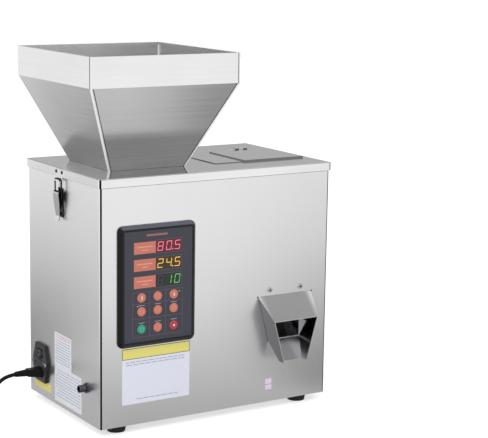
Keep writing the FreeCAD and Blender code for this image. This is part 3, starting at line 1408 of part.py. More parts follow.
def gearmotor():
    bore, total = "shaft_radius + pivot_play", "-(motor_length + gearbox_length)"
    profile = [("0", total), ("motor_can_radius", total), ("motor_can_radius", "-gearbox_length"),
               ("motor_radius", "-gearbox_length"), ("motor_radius", "0"), (bore, "0"),
               (bore, "-shaft_depth"), ("0", "-shaft_depth")]
    keep(turned("gearmotor", profile, left("frame_right - frame_sheet"),
                front(PIVOT[0]), up(PIVOT[1]), TO_RIGHT))


def door_crank():
    """The motor's output shaft with its arm and peg, in line with the door's pin."""
    body = keep(new_body("door_crank", left("crank_left"), front(PIVOT[0]), up(PIVOT[1])))
    pad(body, draw(body, "YZ_Plane", circles=[("0", "0", "crank_hub_radius")]), "crank_hub_length")
    arm = draw(body, "YZ_Plane", outlines=[
        rectangle("-crank_half", "-(peg_drop + crank_half)", "crank_half", "0")])
    pad(body, arm, "crank_sheet")
    pad(body, draw(body, "YZ_Plane", circles=[("0", "-peg_drop", "peg_radius")]), "peg_reach")
    shaft = draw(body, "YZ_Plane", circles=[("0", "0", "shaft_radius")])
    pad(body, shaft, "crank_left - frame_right + frame_sheet + shaft_depth - seat_gap", back=True)


def power_supply():
    body = keep(new_body("power_supply", left("supply_left"), front("supply_front"), up(DECK)))
    box = draw(body, "XY_Plane", outlines=[rectangle("0", "0", "supply_length", "supply_width")])
    pad(body, box, "supply_height")
    shelf = draw(body, "XY_Plane", "supply_height", outlines=[
        rectangle("0", "0", "terminal_width", "supply_width")])
    pocket(body, shelf, "supply_height - terminal_height")
    slots = [rectangle("supply_length * %.2f" % (0.25 + 0.06 * k), "supply_width * 0.2",
                       "supply_length * %.2f" % (0.28 + 0.06 * k), "supply_width * 0.8") for k in range(11)]
    pocket(body, draw(body, "XY_Plane", "supply_height", outlines=slots), "plate_sheet")


# Mains cord: connector in the inlet, the cord, the coil of its spare length and its plug.
# The route's points are counted like the other places, from the connector to the coil.
CORD_ROUTE = [(-47, 198.5, 41.3), (-60.5, 198.5, 40.1), (-72.5, 198.3, 34), (-89, 197.6, 19.5),
              (-108, 196, 3.5), (-130, 193, -6.6), (-153, 188.5, -9), (-175, 185, -9)]
TAIL_ROUTE = [(-217, 140, -3.8), (-217.3, 130, -3.6), (-218.3, 118, -1.4), (-219, 107, 1)]
TO_FRONT = FreeCAD.Rotation(V(1, 0, 0), V(0, -1, 0))


def moulded_relief(body, start):
    """A tapered sleeve with grooves, running back along the cord from a moulded body."""
    points = [(start, "0")]
    rings = 6
    for k in range(rings):
        near = "%s - relief_length * %.4f" % (start, k / rings)
        far = "%s - relief_length * %.4f" % (start, (k + 0.6) / rings)
        ring = "(relief_radius + (relief_tip_radius - relief_radius) * %.4f)" % (k / (rings - 1))
        points += [(near, ring), (far, ring)]
        if k < rings - 1:
            end = "%s - relief_length * %.4f" % (start, (k + 1) / rings)
            points += [(far, ring + " - relief_groove"), (end, ring + " - relief_groove")]
    end = start + " - relief_length"
    points += [(end, "relief_tip_radius - relief_groove / 2"), (end, "0")]
    drawing = draw(body, "XZ_Plane", outlines=[points])
    made = body.newObject("PartDesign::Revolution", body.Label + "_relief")
    made.Profile = drawing
    made.ReferenceAxis = (drawing, ["H_Axis"])
    made.Angle = 360


def cord_connector():
    """The moulded connector: a nose in the socket, a flat collar and the relief."""
    body = keep(new_body("cord_connector", *inlet_place("collar_lift - cavity_drop", "inlet_flange")))
    nose = draw(body, "YZ_Plane", outlines=[cavity_outline("-seat_gap", "-collar_lift")])
    pad(body, nose, "nose_depth")
    slots = draw(body, "YZ_Plane", "nose_depth", outlines=contact_outlines("seat_gap", "-collar_lift"))
    pocket(body, slots, "nose_depth - seat_gap")
    root = draw(body, "YZ_Plane", "0", outlines=[
        centred("collar_half", "2 * collar_half_height", "-collar_lift")])
    far = draw(body, "YZ_Plane", "-collar_length", outlines=[
        centred("relief_radius", "2 * relief_radius", "0")])
    loft(body, "AdditiveLoft", root, far)
    moulded_relief(body, "-collar_length")


BEND_SHARE = 0.45


def cord_tube(label, route):
    """A tube on straight runs and tangent arcs through a route's points."""
    points = [V(*point) for point in route]
    bends = []
    for before, corner, after in zip(points, points[1:], points[2:]):
        half = (corner - before).getAngle(after - corner) / 2
        short = min(before.distanceToPoint(corner), corner.distanceToPoint(after))
        bends.append(BEND_SHARE * short / math.tan(half))
    path = rounded_path(points, bends)
    tube = doc.addObject("Part::Feature", label)
    tube.Label = label
    tube.Shape = round_bar(path, size("cord_radius"))
    keep(place(tube, left("0"), front("0"), up("0")))
    section = math.pi * size("cord_radius") ** 2
    print(label, "length", round(path.Length, 1), "radii", [round(bend) for bend in bends],
          "volume over section times length", round(tube.Shape.Volume / section / path.Length, 4))


def cord_coil():
    """The outer shape of the coiled length: four turns below, three nested on them."""
    low, half = "-foot_height", "4 * cord_radius"
    high = low + " + 2 * cord_radius + coil_layer"
    profile = [("coil_radius - %s" % half, low + " + cord_radius / 2"),
               ("coil_radius - %s + cord_radius / 2" % half, low),
               ("coil_radius + %s - cord_radius / 2" % half, low),
               ("coil_radius + %s" % half, low + " + cord_radius / 2"),
               ("coil_radius + %s" % half, low + " + cord_radius"),
               ("coil_radius + 3 * cord_radius", high + " - cord_radius / 2"),
               ("coil_radius + 2.5 * cord_radius", high), ("coil_radius - 2.5 * cord_radius", high),
               ("coil_radius - 3 * cord_radius", high + " - cord_radius / 2"),
               ("coil_radius - %s" % half, low + " + cord_radius")]
    keep(turned("cord_coil", profile, left("coil_left"), front("coil_front"), up("0")))


PLUG_PLACE = (left("%g" % TAIL_ROUTE[-1][0]), front("(%g - relief_length)" % TAIL_ROUTE[-1][1]),
              up("(plug_half_height - foot_height)"), TO_FRONT)


def mains_plug():
    """A moulded plug that widens to its face, lying on the floor."""
    body = keep(new_body("mains_plug", *PLUG_PLACE))
    small = draw(body, "YZ_Plane", outlines=[centred("plug_back_half", "2 * plug_back_half", "0")])
    large = draw(body, "YZ_Plane", "plug_length - plug_rim", outlines=[
        centred("plug_half", "2 * plug_half_height", "0")])
    loft(body, "AdditiveLoft", small, large)
    face = draw(body, "YZ_Plane", "plug_length - plug_rim", outlines=[
        centred("plug_half", "2 * plug_half_height", "0")])
    pad(body, face, "plug_rim")
    moulded_relief(body, "0")


def plug_blades():
    """Two flat blades and a round earth pin."""
    body = keep(new_body("plug_blades", *PLUG_PLACE))
    pin = draw(body, "YZ_Plane", "plug_length", circles=[("0", "-earth_drop", "earth_radius")])
    pad(body, pin, "earth_length")
    flats = draw(body, "YZ_Plane", "plug_length", outlines=[
        rectangle("%s - blade_thickness / 2" % across, "blade_rise - blade_height / 2",
                  "%s + blade_thickness / 2" % across, "blade_rise + blade_height / 2")
        for across in ("-blade_apart / 2", "blade_apart / 2")])
    pad(body, flats, "blade_length")


# The whole machine, checked before it is written
for make in (case_shell, bottom_plate, rubber_feet, case_screws, lid_tray, hopper, flap_seat_plate,
             access_flap, flap_hinge_leaf, flap_hinge_pin, latch_rivets, panel_bezel, panel_overlay,
             panel_keys, display_modules, controller_board, outlet_chute, inner_slide, power_inlet,
             rocker_switch, fuse_drawer, foot_switch_socket, inner_frame, feeder_mounts, feeder_base,
             feeder_springs, feeder_trough, magnet_core, magnet_coil, feeder_armature, spring_bolts,
             load_cell, bucket_hanger, weigh_bucket, door_pin, bucket_door, gearmotor, door_crank,
             power_supply, cord_connector, cord_coil, mains_plug, plug_blades):
    make()
for side, (x, turn) in SIDES.items():
    latch_lever(side, x, turn)
    latch_loop(side, x, turn)
group("latch_bases", [latch_base(x, turn) for x, turn in SIDES.values()])
group("latch_keepers", [latch_keeper(x, turn) for x, turn in SIDES.values()])
cord_tube("power_cord", CORD_ROUTE)
cord_tube("cord_tail", TAIL_ROUTE)

doc.recompute()
faults = [item.Name for item in doc.Objects if "Invalid" in item.State or "Error" in item.State]
faults += [piece.Label for piece in PARTS if piece.Shape.isNull() or not piece.Shape.isValid()]
if faults:
    raise ValueError("These objects have a fault: " + ", ".join(faults))
os.makedirs("parts", exist_ok=True)
for piece in PARTS:
    piece.Shape.exportStep("parts/%s.step" % piece.Label)
print(len(PARTS), "sub-parts written")
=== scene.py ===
"""Looks of a granule weighing and filling machine, laid out as a Blender add-on.

Each operator dresses or adds one piece, or a group of like pieces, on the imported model.
Places on the machine are written in millimetres from the case's lower front left corner."""

import json
from math import cos, degrees, floor, pi, radians, sin, tan

import bmesh
import bpy
from bpy.props import FloatProperty, FloatVectorProperty, PointerProperty
from mathutils import Matrix, Vector


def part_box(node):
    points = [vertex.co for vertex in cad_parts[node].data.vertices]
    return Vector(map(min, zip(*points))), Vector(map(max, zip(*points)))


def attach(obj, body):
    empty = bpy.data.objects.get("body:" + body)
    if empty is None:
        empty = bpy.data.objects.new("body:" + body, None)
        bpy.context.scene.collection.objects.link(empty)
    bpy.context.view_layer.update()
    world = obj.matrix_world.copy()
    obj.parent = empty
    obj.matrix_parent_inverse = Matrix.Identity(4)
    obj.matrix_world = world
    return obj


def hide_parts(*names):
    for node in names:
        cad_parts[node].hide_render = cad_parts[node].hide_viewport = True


bl_info = {
    "name": "Granule filling machine",
    "version": (1, 0, 0),
    "blender": (4, 5, 0),
    "location": "3D View > Sidebar > Filler",
    "description": "Dresses the packed filling machine and its stage",
    "category": "Object",
}

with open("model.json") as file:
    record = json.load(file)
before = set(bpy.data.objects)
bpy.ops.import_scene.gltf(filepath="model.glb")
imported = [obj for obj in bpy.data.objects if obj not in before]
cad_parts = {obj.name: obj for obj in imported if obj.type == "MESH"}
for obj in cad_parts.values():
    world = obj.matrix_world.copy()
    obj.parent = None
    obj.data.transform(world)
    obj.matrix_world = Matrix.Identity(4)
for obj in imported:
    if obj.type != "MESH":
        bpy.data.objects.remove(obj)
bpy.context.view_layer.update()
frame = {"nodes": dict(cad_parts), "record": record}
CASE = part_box("case_shell")[0]
MM = 0.001


def colour(text):
    """An sRGB hex value as linear red, green, blue and alpha."""
    parts = [int(text[i:i + 2], 16) / 255 for i in (1, 3, 5)]
    linear = [c / 12.92 if c <= 0.04045 else ((c + 0.055) / 1.055) ** 2.4 for c in parts]
    return (*linear, 1)


def swatch(name, text, description):
    """A colour setting that starts at an sRGB hex value."""
    return FloatVectorProperty(name=name, description=description, subtype="COLOR", size=4,
                               min=0, max=1, default=colour(text))


def length(name, millimetres, description):
    """A length setting that starts at this many millimetres."""
    return FloatProperty(name=name, description=description, unit="LENGTH", min=0,
                         default=millimetres * MM)


def share(name, value, description):
    """A setting between nought and one."""
    return FloatProperty(name=name, description=description, min=0, max=1, default=value)


class FillerSteel(bpy.types.PropertyGroup):
    """Tones of the stainless sheets and how matt each is."""
    case: swatch("Case", "#F2F2F3", "Tone of the brushed case")
    lid: swatch("Lid", "#EEEEEF", "Tone of the lid, its flap and seat plate")
    hopper: swatch("Hopper", "#EFEFF0", "Tone of the hopper")
    # Tone of the painted dark reflection along folded edges
    fold: swatch("Fold line", "#1E1F21", "Dark line along a folded edge")
    chute: swatch("Chute", "#ECECEE", "Tone of the outlet chute")
    case_matt: share("Case roughness", 0.3, "How matt the brushed case is")
    lid_matt: share("Lid roughness", 0.09, "How matt the lid is")
    hopper_matt: share("Hopper roughness", 0.2, "How matt the hopper is")


class FillerColours(bpy.types.PropertyGroup):
    """Colours of the panel, its lights and keys, the labels and the lead."""
    bezel: swatch("Bezel", "#1D1F26", "Panel bezel")
    film: swatch("Film", "#3C3C48", "Printed panel film")
    block: swatch("Block", "#CB7866", "Orange blocks and keys on the panel")
    start: swatch("Start key", "#359478", "Start key")
    stop: swatch("Stop key", "#AF3E4A", "Stop key")
    light_red: swatch("Red digits", "#E2707F", "Lit digits of the top display")
    light_amber: swatch("Amber digits", "#E2B04E", "Lit digits of the middle display")
    light_green: swatch("Green digits", "#5FAF62", "Lit digits of the lowest display")
    paper: swatch("Label", "#E6E8F0", "White labels")
    warning: swatch("Label band", "#EADF7C", "Yellow bands of the labels")
    tint: swatch("Label tint", "#E4E6F4", "Pale tint of the front label")
    lead: swatch("Lead", "#050506", "Mains lead and plug")


class FillerSizes(bpy.types.PropertyGroup):
    """Sizes of the added pieces."""
    lead_width: length("Lead diameter", 6, "Diameter of the mains lead")
    label_sheet: length("Label thickness", 0.15, "Thickness of the stuck labels")
    print_sheet: length("Print thickness", 0.06, "Thickness of printed marks")
    bead: length("Weld bead", 2.0, "Radius of the weld beads")
    recess: length("Recess size", 4.6, "Length of the cross recess in a screw head")


class FillerStage(bpy.types.PropertyGroup):
    """Light and floor."""
    key_power: FloatProperty(name="Key lamp", description="Power of the large lamp", unit="POWER",
                             min=0, default=26)
    sky: FloatProperty(name="Room light", description="Strength of the room's even light",
                       min=0, default=0.78)
    floor_tone: swatch("Floor", "#E6E6E6", "Pale floor")
    floor_lift: FloatProperty(name="Floor lift", min=0, default=0.5,
                              description="Glow that lifts the floor to white for the eye")
    floor_shade: share("Floor shade", 0.44, "How bright polished metal sees the floor close by")
    floor_size: length("Floor size", 12000, "Side of the floor")


PROPERTY_GROUPS = {"filler_steel": FillerSteel, "filler_colours": FillerColours,
                   "filler_sizes": FillerSizes, "filler_stage": FillerStage}


def at(x, y, z):
    """A point given in millimetres from the case's lower front left corner."""
    return CASE + Vector((x, y, z)) * MM


# Materials

MIX_FACTOR, MIX_A, MIX_B, MIX_RESULT = 0, 6, 7, 2
WHITE = (1, 1, 1, 1)
CHUTE_MIDDLE = 321
# The chute's soft folds: where they start and end from its middle, and how far they drop
ROLL_START, ROLL_END, ROLL_DROP = 34, 49.5, 2.2


def add(tree, kind, inputs=None, **settings):
    """Adds a node with its settings, input values and links."""
    node = tree.nodes.new(kind)
    for name, value in settings.items():
        setattr(node, name, value)
    for name, value in (inputs or {}).items():
        if isinstance(value, bpy.types.NodeSocket):
            tree.links.new(value, node.inputs[name])
        else:
            node.inputs[name].default_value = value
    return node


def new_material(name, tone, **values):
    """A material whose shader has this base colour and these plain socket values."""
    material = bpy.data.materials.new(name)
    material.use_nodes = True
    shader = material.node_tree.nodes["Principled BSDF"]
    shader.inputs["Base Color"].default_value = tone
    for socket, value in values.items():
        shader.inputs[socket.replace("_", " ")].default_value = value
    material.diffuse_color = tone
    return material


def noise_at(tree, size, detail=2.0, stretch=(1, 1, 1)):
    """Noise whose features are about this many millimetres, drawn out by stretch."""
    place = add(tree, "ShaderNodeTexCoord")
    fit = add(tree, "ShaderNodeMapping", {"Vector": place.outputs["Object"],
                                          "Scale": [1 / (size * MM * s) for s in stretch]})
    noise = add(tree, "ShaderNodeTexNoise", {"Vector": fit.outputs["Vector"], "Scale": 1.0,
                                             "Detail": detail, "Roughness": 0.6})
    return noise.outputs["Fac"]


def calc(tree, operation, *values):
    """The result of a sum on values or sockets."""
    return add(tree, "ShaderNodeMath", dict(enumerate(values)), operation=operation).outputs[0]


def facing(tree):
    """How far the surface looks along the machine's X, Y and Z."""
    place = add(tree, "ShaderNodeTexCoord")
    return add(tree, "ShaderNodeSeparateXYZ", {"Vector": place.outputs["Normal"]}).outputs


def blend(tree, fac, under, over):
    """One tone over another by a factor."""
    mix = add(tree, "ShaderNodeMix", {MIX_FACTOR: fac, MIX_A: under, MIX_B: over}, data_type="RGBA")
    return mix.outputs[MIX_RESULT]


def ramp(tree, value, low, high, start=0.0, end=1.0):
    """A value carried from one range to another and held at its ends."""
    return add(tree, "ShaderNodeMapRange", {"Value": value, "From Min": low, "From Max": high,
                                            "To Min": start, "To Max": end}).outputs["Result"]


def vary(tree, fac, tone, spread):
    """The tone made a little darker and lighter by a noise."""
    darker = [c * (1 - spread) for c in tone[:3]] + [1]
    lighter = [min(1, c * (1 + spread)) for c in tone[:3]] + [1]
    return blend(tree, fac, darker, lighter)


def scale_to(tree, fac, low, high):
    """A noise, which mostly stays near its middle, spread over a range."""
    return ramp(tree, fac, 0.3, 0.7, low, high)


def fold_masks(tree, folds, polished):
    """Two masks along the folds between faces that look along these pairs of axes: a painted
    dark reflection nearer to the second face, and a painted highlight nearer to the first. The
    pairs in polished get only the painted highlight."""
    axes = facing(tree)
    masks = [0.0, 0.0]
    for one, other in (*folds, *polished):
        first, second = (calc(tree, "ABSOLUTE", axes[name]) for name in (one, other))
        past = ramp(tree, first, 0.03, 0.08)
        highlight_mask = calc(tree, "MULTIPLY", ramp(tree, second, 0.08, 0.25), past)
        masks[1] = calc(tree, "MAXIMUM", masks[1], highlight_mask)
        if (one, other) in folds:
            line = calc(tree, "MULTIPLY", ramp(tree, second, 0.50, 0.60), past)
            masks[0] = calc(tree, "MAXIMUM", masks[0], line)
    return masks


def retone(material, *tones):
    """Paints light and shade into a material's tone where its surface looks along an axis.
    Each entry has the axis, which way along it (0 for both), where the change starts and
    ends, and the tone."""
    tree = material.node_tree
    socket = tree.nodes["Principled BSDF"].inputs["Base Color"]
    tone = socket.links[0].from_socket
    axes = facing(tree)
    for axis, way, start, end, over in tones:
        look = (calc(tree, "MULTIPLY", axes[axis], way) if way
                else calc(tree, "ABSOLUTE", axes[axis]))
        tone = blend(tree, ramp(tree, look, start, end), tone, over)
    tree.links.new(tone, socket)
    return material


CLOUD_SIZE, STREAK_STRETCH = 90, 60


def brushed_steel(name, tone, matt, along, grain=1.5, folds=(), polished=(), fold_reflection_tone=None,
                  spread=0.05, wave=0.006):
    """Stainless sheet brushed along one or two axes: fine lines, and slow cloudy changes
    where the sheet was handled. Real lines are about 0.1 mm apart, and they are drawn a
    grain of 1.5 mm or more apart so that they show. The sheet waves by a few microns. Along a
    fold a dark line is painted as a painted reflection, with a painted highlight beside it."""
    material = new_material(name, tone, Metallic=1.0)
    tree = material.node_tree
    shader = tree.nodes["Principled BSDF"]
    lines = noise_at(tree, grain, 3.0, [STREAK_STRETCH if axis in along else 1 for axis in "xyz"])
    clouds = noise_at(tree, CLOUD_SIZE, 1.0)
    both = calc(tree, "ADD", lines, clouds)
    sheet = vary(tree, calc(tree, "MULTIPLY", both, 0.5), tone, spread)
    if folds:
        # Painted dark reflection and painted highlight along the folds
        painted_dark, painted_bright = fold_masks(tree, folds, polished)
        sheet = blend(tree, painted_dark, blend(tree, painted_bright, sheet, WHITE), fold_reflection_tone)
    tree.links.new(sheet, shader.inputs["Base Color"])
    tree.links.new(scale_to(tree, lines, matt - 0.02, matt + 0.03), shader.inputs["Roughness"])
    bump = add(tree, "ShaderNodeBump", {"Height": lines, "Strength": 1.0, "Distance": wave * MM})
    tree.links.new(bump.outputs["Normal"], shader.inputs["Normal"])
    return material


def moulded(name, tone, matt, grit=0.6, depth=0.00004, spread=0.06, **values):
    """A moulded or cast piece: faint grit in the surface and a slight change of tone."""
    material = new_material(name, tone, **values)
    tree = material.node_tree
    shader = tree.nodes["Principled BSDF"]
    fine = noise_at(tree, grit, 3.0)
    cloudy = vary(tree, noise_at(tree, 12 * grit, 2.0), tone, spread)
    tree.links.new(cloudy, shader.inputs["Base Color"])
    tree.links.new(scale_to(tree, fine, matt - 0.05, matt + 0.05), shader.inputs["Roughness"])
    bump = add(tree, "ShaderNodeBump", {"Height": fine, "Strength": 0.4, "Distance": depth})
    tree.links.new(bump.outputs["Normal"], shader.inputs["Normal"])
    return material


def plated(name, tone, matt, grit=3.0):
    """Zinc or nickel plating on a stamped or turned piece: bright, with soft cloudy marks."""
    return moulded(name, tone, matt, grit, 0.00002, 0.08, Metallic=1.0)


def paper(name, tone, spread=0.02):
    """Coated label paper under clear film: even and satin."""
    return moulded("paper_coated_" + name, tone, 0.5, 0.5, 0.00002, spread)


def ink(name, tone, matt=0.55, spread=0.03):
    """Printed ink: flat, matt and almost smooth."""
    return moulded("ink_printed_" + name, tone, matt, 0.5, 0.00001, spread)


def hood_steel(name, tone, cheek_shade, matt, middle):
    """Brushed stainless of the chute's hood: its brow rolls over softly beside the two
    folds, and its cheeks are painted darker as painted shade."""
    material = retone(brushed_steel(name, tone, matt, "z"), ("X", 0, 0.5, 0.8, cheek_shade))
    tree = material.node_tree
    shader = tree.nodes["Principled BSDF"]
    place = add(tree, "ShaderNodeTexCoord").outputs["Object"]
    across = add(tree, "ShaderNodeSeparateXYZ", {"Vector": place}).outputs["X"]
    off = calc(tree, "ABSOLUTE", calc(tree, "SUBTRACT", across, middle))
    rolled = ramp(tree, off, ROLL_START * MM, ROLL_END * MM)
    brow = ramp(tree, facing(tree)["Z"], 0.2, 0.4)
    rolled = calc(tree, "MULTIPLY", calc(tree, "MULTIPLY", rolled, rolled), brow)
    height = calc(tree, "SUBTRACT", 1.0, rolled)
    bump = add(tree, "ShaderNodeBump", {"Height": height, "Strength": 1.0,
                                        "Distance": ROLL_DROP * MM})
    tree.links.new(bump.outputs["Normal"], shader.inputs["Normal"])
    return material


def galvanised(name, tone):
    """Galvanised sheet: crystals about 8 mm wide that each take the light a little
    differently."""
    material = new_material(name, tone, Metallic=1.0)
    tree = material.node_tree
    shader = tree.nodes["Principled BSDF"]
    place = add(tree, "ShaderNodeTexCoord")
    cells = add(tree, "ShaderNodeTexVoronoi", {"Vector": place.outputs["Object"], "Scale": 125.0})
    tree.links.new(vary(tree, cells.outputs["Color"], tone, 0.15), shader.inputs["Base Color"])
    tree.links.new(scale_to(tree, cells.outputs["Color"], 0.35, 0.5), shader.inputs["Roughness"])
    return material


def lit(name, tone, strength):
    """A lit segment behind the smoked window: it glows evenly in its own colour."""
    material = moulded(name, tone, 0.4)
    shader = material.node_tree.nodes["Principled BSDF"]
    shader.inputs["Emission Color"].default_value = tone
    shader.inputs["Emission Strength"].default_value = strength
    return material


def slot_materials(scene):
    """A material for each material slot of the record."""
    steel, colours = scene.filler_steel, scene.filler_colours
    return {
        # Stainless sheet, brushed up and down before it was folded: satin, so that
        # reflections smear into soft upright bands. Its upright folds get a painted dark
        # reflection and a painted highlight
        "stainless_case": brushed_steel("stainless_brushed_case", steel.case, steel.case_matt, "z",
                                        folds=[("X", "Y")], fold_reflection_tone=steel.fold, spread=0.03),
        # Stainless sheet with a finer brush along the machine: half a mirror. Its streaks
        # are drawn 6 mm apart, because the lid is seen almost edge on. Its upright folds get a
        # painted dark reflection and a painted highlight, and its top edges a painted highlight
        "stainless_lid": brushed_steel("stainless_fine_brushed_lid", steel.lid,
                                       steel.lid_matt, "x", 6.0,
                                       folds=[("X", "Y")], polished=[("Z", "Y"), ("Z", "X")],
                                       fold_reflection_tone=steel.fold, spread=0.14, wave=0.06),
        # Stainless sheet brushed level round the funnel: bright, with level streaks, which
        # are drawn 3.5 mm apart
        "stainless_hopper": brushed_steel("stainless_fine_brushed_hopper", steel.hopper,
                                          steel.hopper_matt, "xy", 3.5, spread=0.12),
        # Stainless sheet, folded small: brushed up and down like the case but brighter, with
        # painted shade on its cheeks
        "stainless_chute": hood_steel("stainless_brushed_chute", steel.chute, colour("#9A9A9E"),
                                      steel.hopper_matt, at(CHUTE_MIDDLE, 0, 0).x),
        # Moulded black rubber: matt, slightly dusty
        "rubber_black": moulded("rubber_moulded_black", colour("#1A1A1B"), 0.75, 0.8, 0.00008),
        # Zinc-plated steel screws, pins and hinge: bright with a cloudy bloom
        "zinc_plated": plated("steel_zinc_plated", colour("#C9CBCD"), 0.28),
        # Nickel-plated stamped steel of the latches: mirror-bright outwards, painted near black
        # as a painted reflection where it looks along Y, and painted pale as a painted highlight
        # where it looks up
        "latch_plated": retone(plated("steel_nickel_plated_bright", colour("#D6D6D8"), 0.16, 5.0),
                               ("Z", 1, 0.12, 0.3, colour("#FAFAFA")),
                               ("Y", 0, 0.35, 0.6, colour("#0E0E10"))),
        # Nickel on turned brass and the motor can: it mirrors sharply, but dully
        "nickel_plated": plated("brass_nickel_plated_dull", colour("#5C5C60"), 0.2),
        # Moulded ABS with a fine spark-eroded texture: soft dull shine. Its bevel is painted
        # lighter above as a painted highlight and near black on the left as painted shade
        "bezel_plastic": retone(moulded("abs_moulded_bezel", colours.bezel, 0.42, 0.5,
                                        Specular_IOR_Level=0.25),
                                ("Z", 1, 0.2, 0.5, colour("#5C5F69")),
                                ("X", -1, 0.2, 0.5, colour("#08080B"))),
        # Polyester film printed from behind: satin and even
        "overlay_film": moulded("polyester_printed_film", colours.film, 0.5, 0.4, 0.00002),
        # Smoked acrylic over the display: glossy and nearly black
        "display_window": moulded("acrylic_smoked_window", colour("#1A1012"), 0.18, 0.8, 0.00001),
        # Domed polycarbonate key caps: smooth, with a small highlight
        "key_orange": moulded("polycarbonate_key_orange", colours.block, 0.38, 0.6, 0.00002),
        "key_green": moulded("polycarbonate_key_green", colours.start, 0.38, 0.6, 0.00002),
        "key_red": moulded("polycarbonate_key_red", colours.stop, 0.38, 0.6, 0.00002),
        # Glass-fibre board under green solder mask: waxy gloss
        "circuit_board": moulded("board_solder_mask_green", colour("#1D6B3F"), 0.35, 1.2),
        # Glass-filled nylon of the mains inlet: a textured face, and its bevels, which look away
        # from X, painted near black
        "inlet_plastic": retone(moulded("nylon_moulded_inlet", colour("#33343C"), 0.4, 0.5),
                                ("X", 0, 0.97, 0.9, colour("#0B0B0D"))),
        # Polished nylon of the rocker
        "rocker_plastic": moulded("nylon_polished_rocker", colour("#0E0F11"), 0.22, 0.8, 0.00001),
        "galvanised_frame": galvanised("steel_galvanised_sheet", colour("#A9ACAE")),
        # Cast iron under hammered grey-green paint: orange-peel bumps about 2 mm apart
        "feeder_casting": moulded("iron_cast_hammer_painted", colour("#5D6A70"), 0.38, 2.0,
                                  0.0002, 0.12),
        # Blued rolled spring strip
        "spring_steel": brushed_steel("steel_rolled_spring", colour("#8C8F92"), 0.35, "z"),
        # Laminated core: sheet edges 0.5 mm apart, drawn 1 mm apart
        "core_steel": brushed_steel("steel_laminated_core", colour("#6A6C70"), 0.45, "xz", 1.0),
        # Yellow polyester tape wound round the coil
        "coil_tape": moulded("polyester_wound_tape", colour("#C9A43A"), 0.45, 1.5, 0.0001, 0.15),
        # Clear-anodised milled aluminium: pale and satin
        "load_cell_aluminium": brushed_steel("aluminium_anodised_milled", colour("#C2C5C8"),
                                             0.36, "x"),
        # Bare perforated aluminium cover
        "supply_cover": brushed_steel("aluminium_bare_sheet", colour("#B9BCBE"), 0.34, "x"),
        # Moulded PVC of the lead and its ends: black, with a weak greasy shine
        "cord_rubber": moulded("pvc_moulded_lead", colours.lead, 0.42, 0.8, 0.00003,
                               Specular_IOR_Level=0.25),
        # Nickel-flashed brass blades
        "blade_brass": plated("brass_nickel_flashed_blade", colour("#D8D2B8"), 0.25),
    }


def dress(piece, material, body="machine"):
    """Gives an added piece its material and slot and lets it ride on a body."""
    piece.data.materials.append(material)
    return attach(piece, body)


# Shapes

def mesh_piece(name, made):
    """An object from a bmesh."""
    bmesh.ops.recalc_face_normals(made, faces=made.faces)
    mesh = bpy.data.meshes.new(name)
    made.to_mesh(mesh)
    made.free()
    piece = bpy.data.objects.new(name, mesh)
    bpy.context.scene.collection.objects.link(piece)
    return piece


def on_front(u, v, w):
    """A point u across and v up the case's front, w before it."""
    return at(u, -w, v)


def on_left(u, v, w):
    """A point u back and v up the case's left side, w out from it."""
    return at(-w, u, v)


def box_outline(left, low, right, high):
    """The four corners of a rectangle."""
    return [(left, low), (right, low), (right, high), (left, high)]


def plates(name, outlines, face, low, high):
    """Thin flat plates with these outlines, from low to high above a face."""
    made = bmesh.new()
    for outline in outlines:
        under = [made.verts.new(face(u, v, low)) for u, v in outline]
        over = [made.verts.new(face(u, v, high)) for u, v in outline]
        made.faces.new(under)
        made.faces.new(over)
        for k in range(len(outline)):
            n = (k + 1) % len(outline)
            made.faces.new((under[k], under[n], over[n], over[k]))
    return mesh_piece(name, made)


def ring_outlines(u, v, outer, inner, gap_at=None, count=16):
    """Short plates that together make a ring, open at the top when gap_at is given."""
    outlines = []
    for k in range(count):
        begin, end = radians(360 * k / count), radians(360 * (k + 1) / count)
        if gap_at is not None and abs((degrees(begin + end) / 2 - gap_at + 180) % 360 - 180) < 25:
            continue
        outlines.append([(u + r * cos(a), v + r * sin(a))
                         for r, a in ((inner, begin), (outer, begin), (outer, end), (inner, end))])
    return outlines


def disc_outline(u, v, radius, count=20):
    """Points round a circle."""
    return [(u + radius * cos(radians(360 * k / count)), v + radius * sin(radians(360 * k / count)))
            for k in range(count)]


def round_rod(name, points, radius, count=10):
    """A straight rod through points, with flat ends."""
    made = bmesh.new()
    start, end = points
    along = (end - start).normalized()
    side = along.orthogonal().normalized()
    across = along.cross(side)
    rings = []
    for point in (start, end):
        rings.append([made.verts.new(point + (side * cos(radians(360 * k / count))
                                              + across * sin(radians(360 * k / count))) * radius)
                      for k in range(count)])
    for k in range(count):
        n = (k + 1) % count
        made.faces.new((rings[0][k], rings[0][n], rings[1][n], rings[1][k]))
    made.faces.new(rings[0])
    made.faces.new(rings[1])
    return mesh_piece(name, made)


def stick(name, outlines, face, low, high, material):
    """Thin plates on a face of the machine, in one material."""
    return dress(plates(name, outlines, face, low, high), material)


class Step(bpy.types.Operator):
    """One piece or group of the machine's looks."""
    bl_options = {"REGISTER", "UNDO"}


# Camera and lead

CAMERA_SPOT = (-1.17100, -2.02637, 0.72356)
CAMERA_TURN, CAMERA_TILT, CAMERA_ROLL, CAMERA_LENS = -32.4173, 10.4030, 0.9160, 112.34


class FILLER_OT_camera(Step):
    """Places the camera before the machine's left front corner"""
    bl_idname = "filler.camera"
    bl_label = "Camera"

    def execute(self, context):
        camera = bpy.data.objects.new("camera", bpy.data.cameras.new("camera"))
        context.scene.collection.objects.link(camera)
        camera.data.lens = CAMERA_LENS
        camera.data.sensor_width = 36
        camera.data.clip_start = 0.05
        camera.matrix_world = (Matrix.Translation(CAMERA_SPOT)
                               @ Matrix.Rotation(radians(CAMERA_TURN), 4, "Z")
                               @ Matrix.Rotation(radians(90 - CAMERA_TILT), 4, "X")
                               @ Matrix.Rotation(radians(CAMERA_ROLL), 4, "Z"))
        context.scene.camera = camera
        return {"FINISHED"}


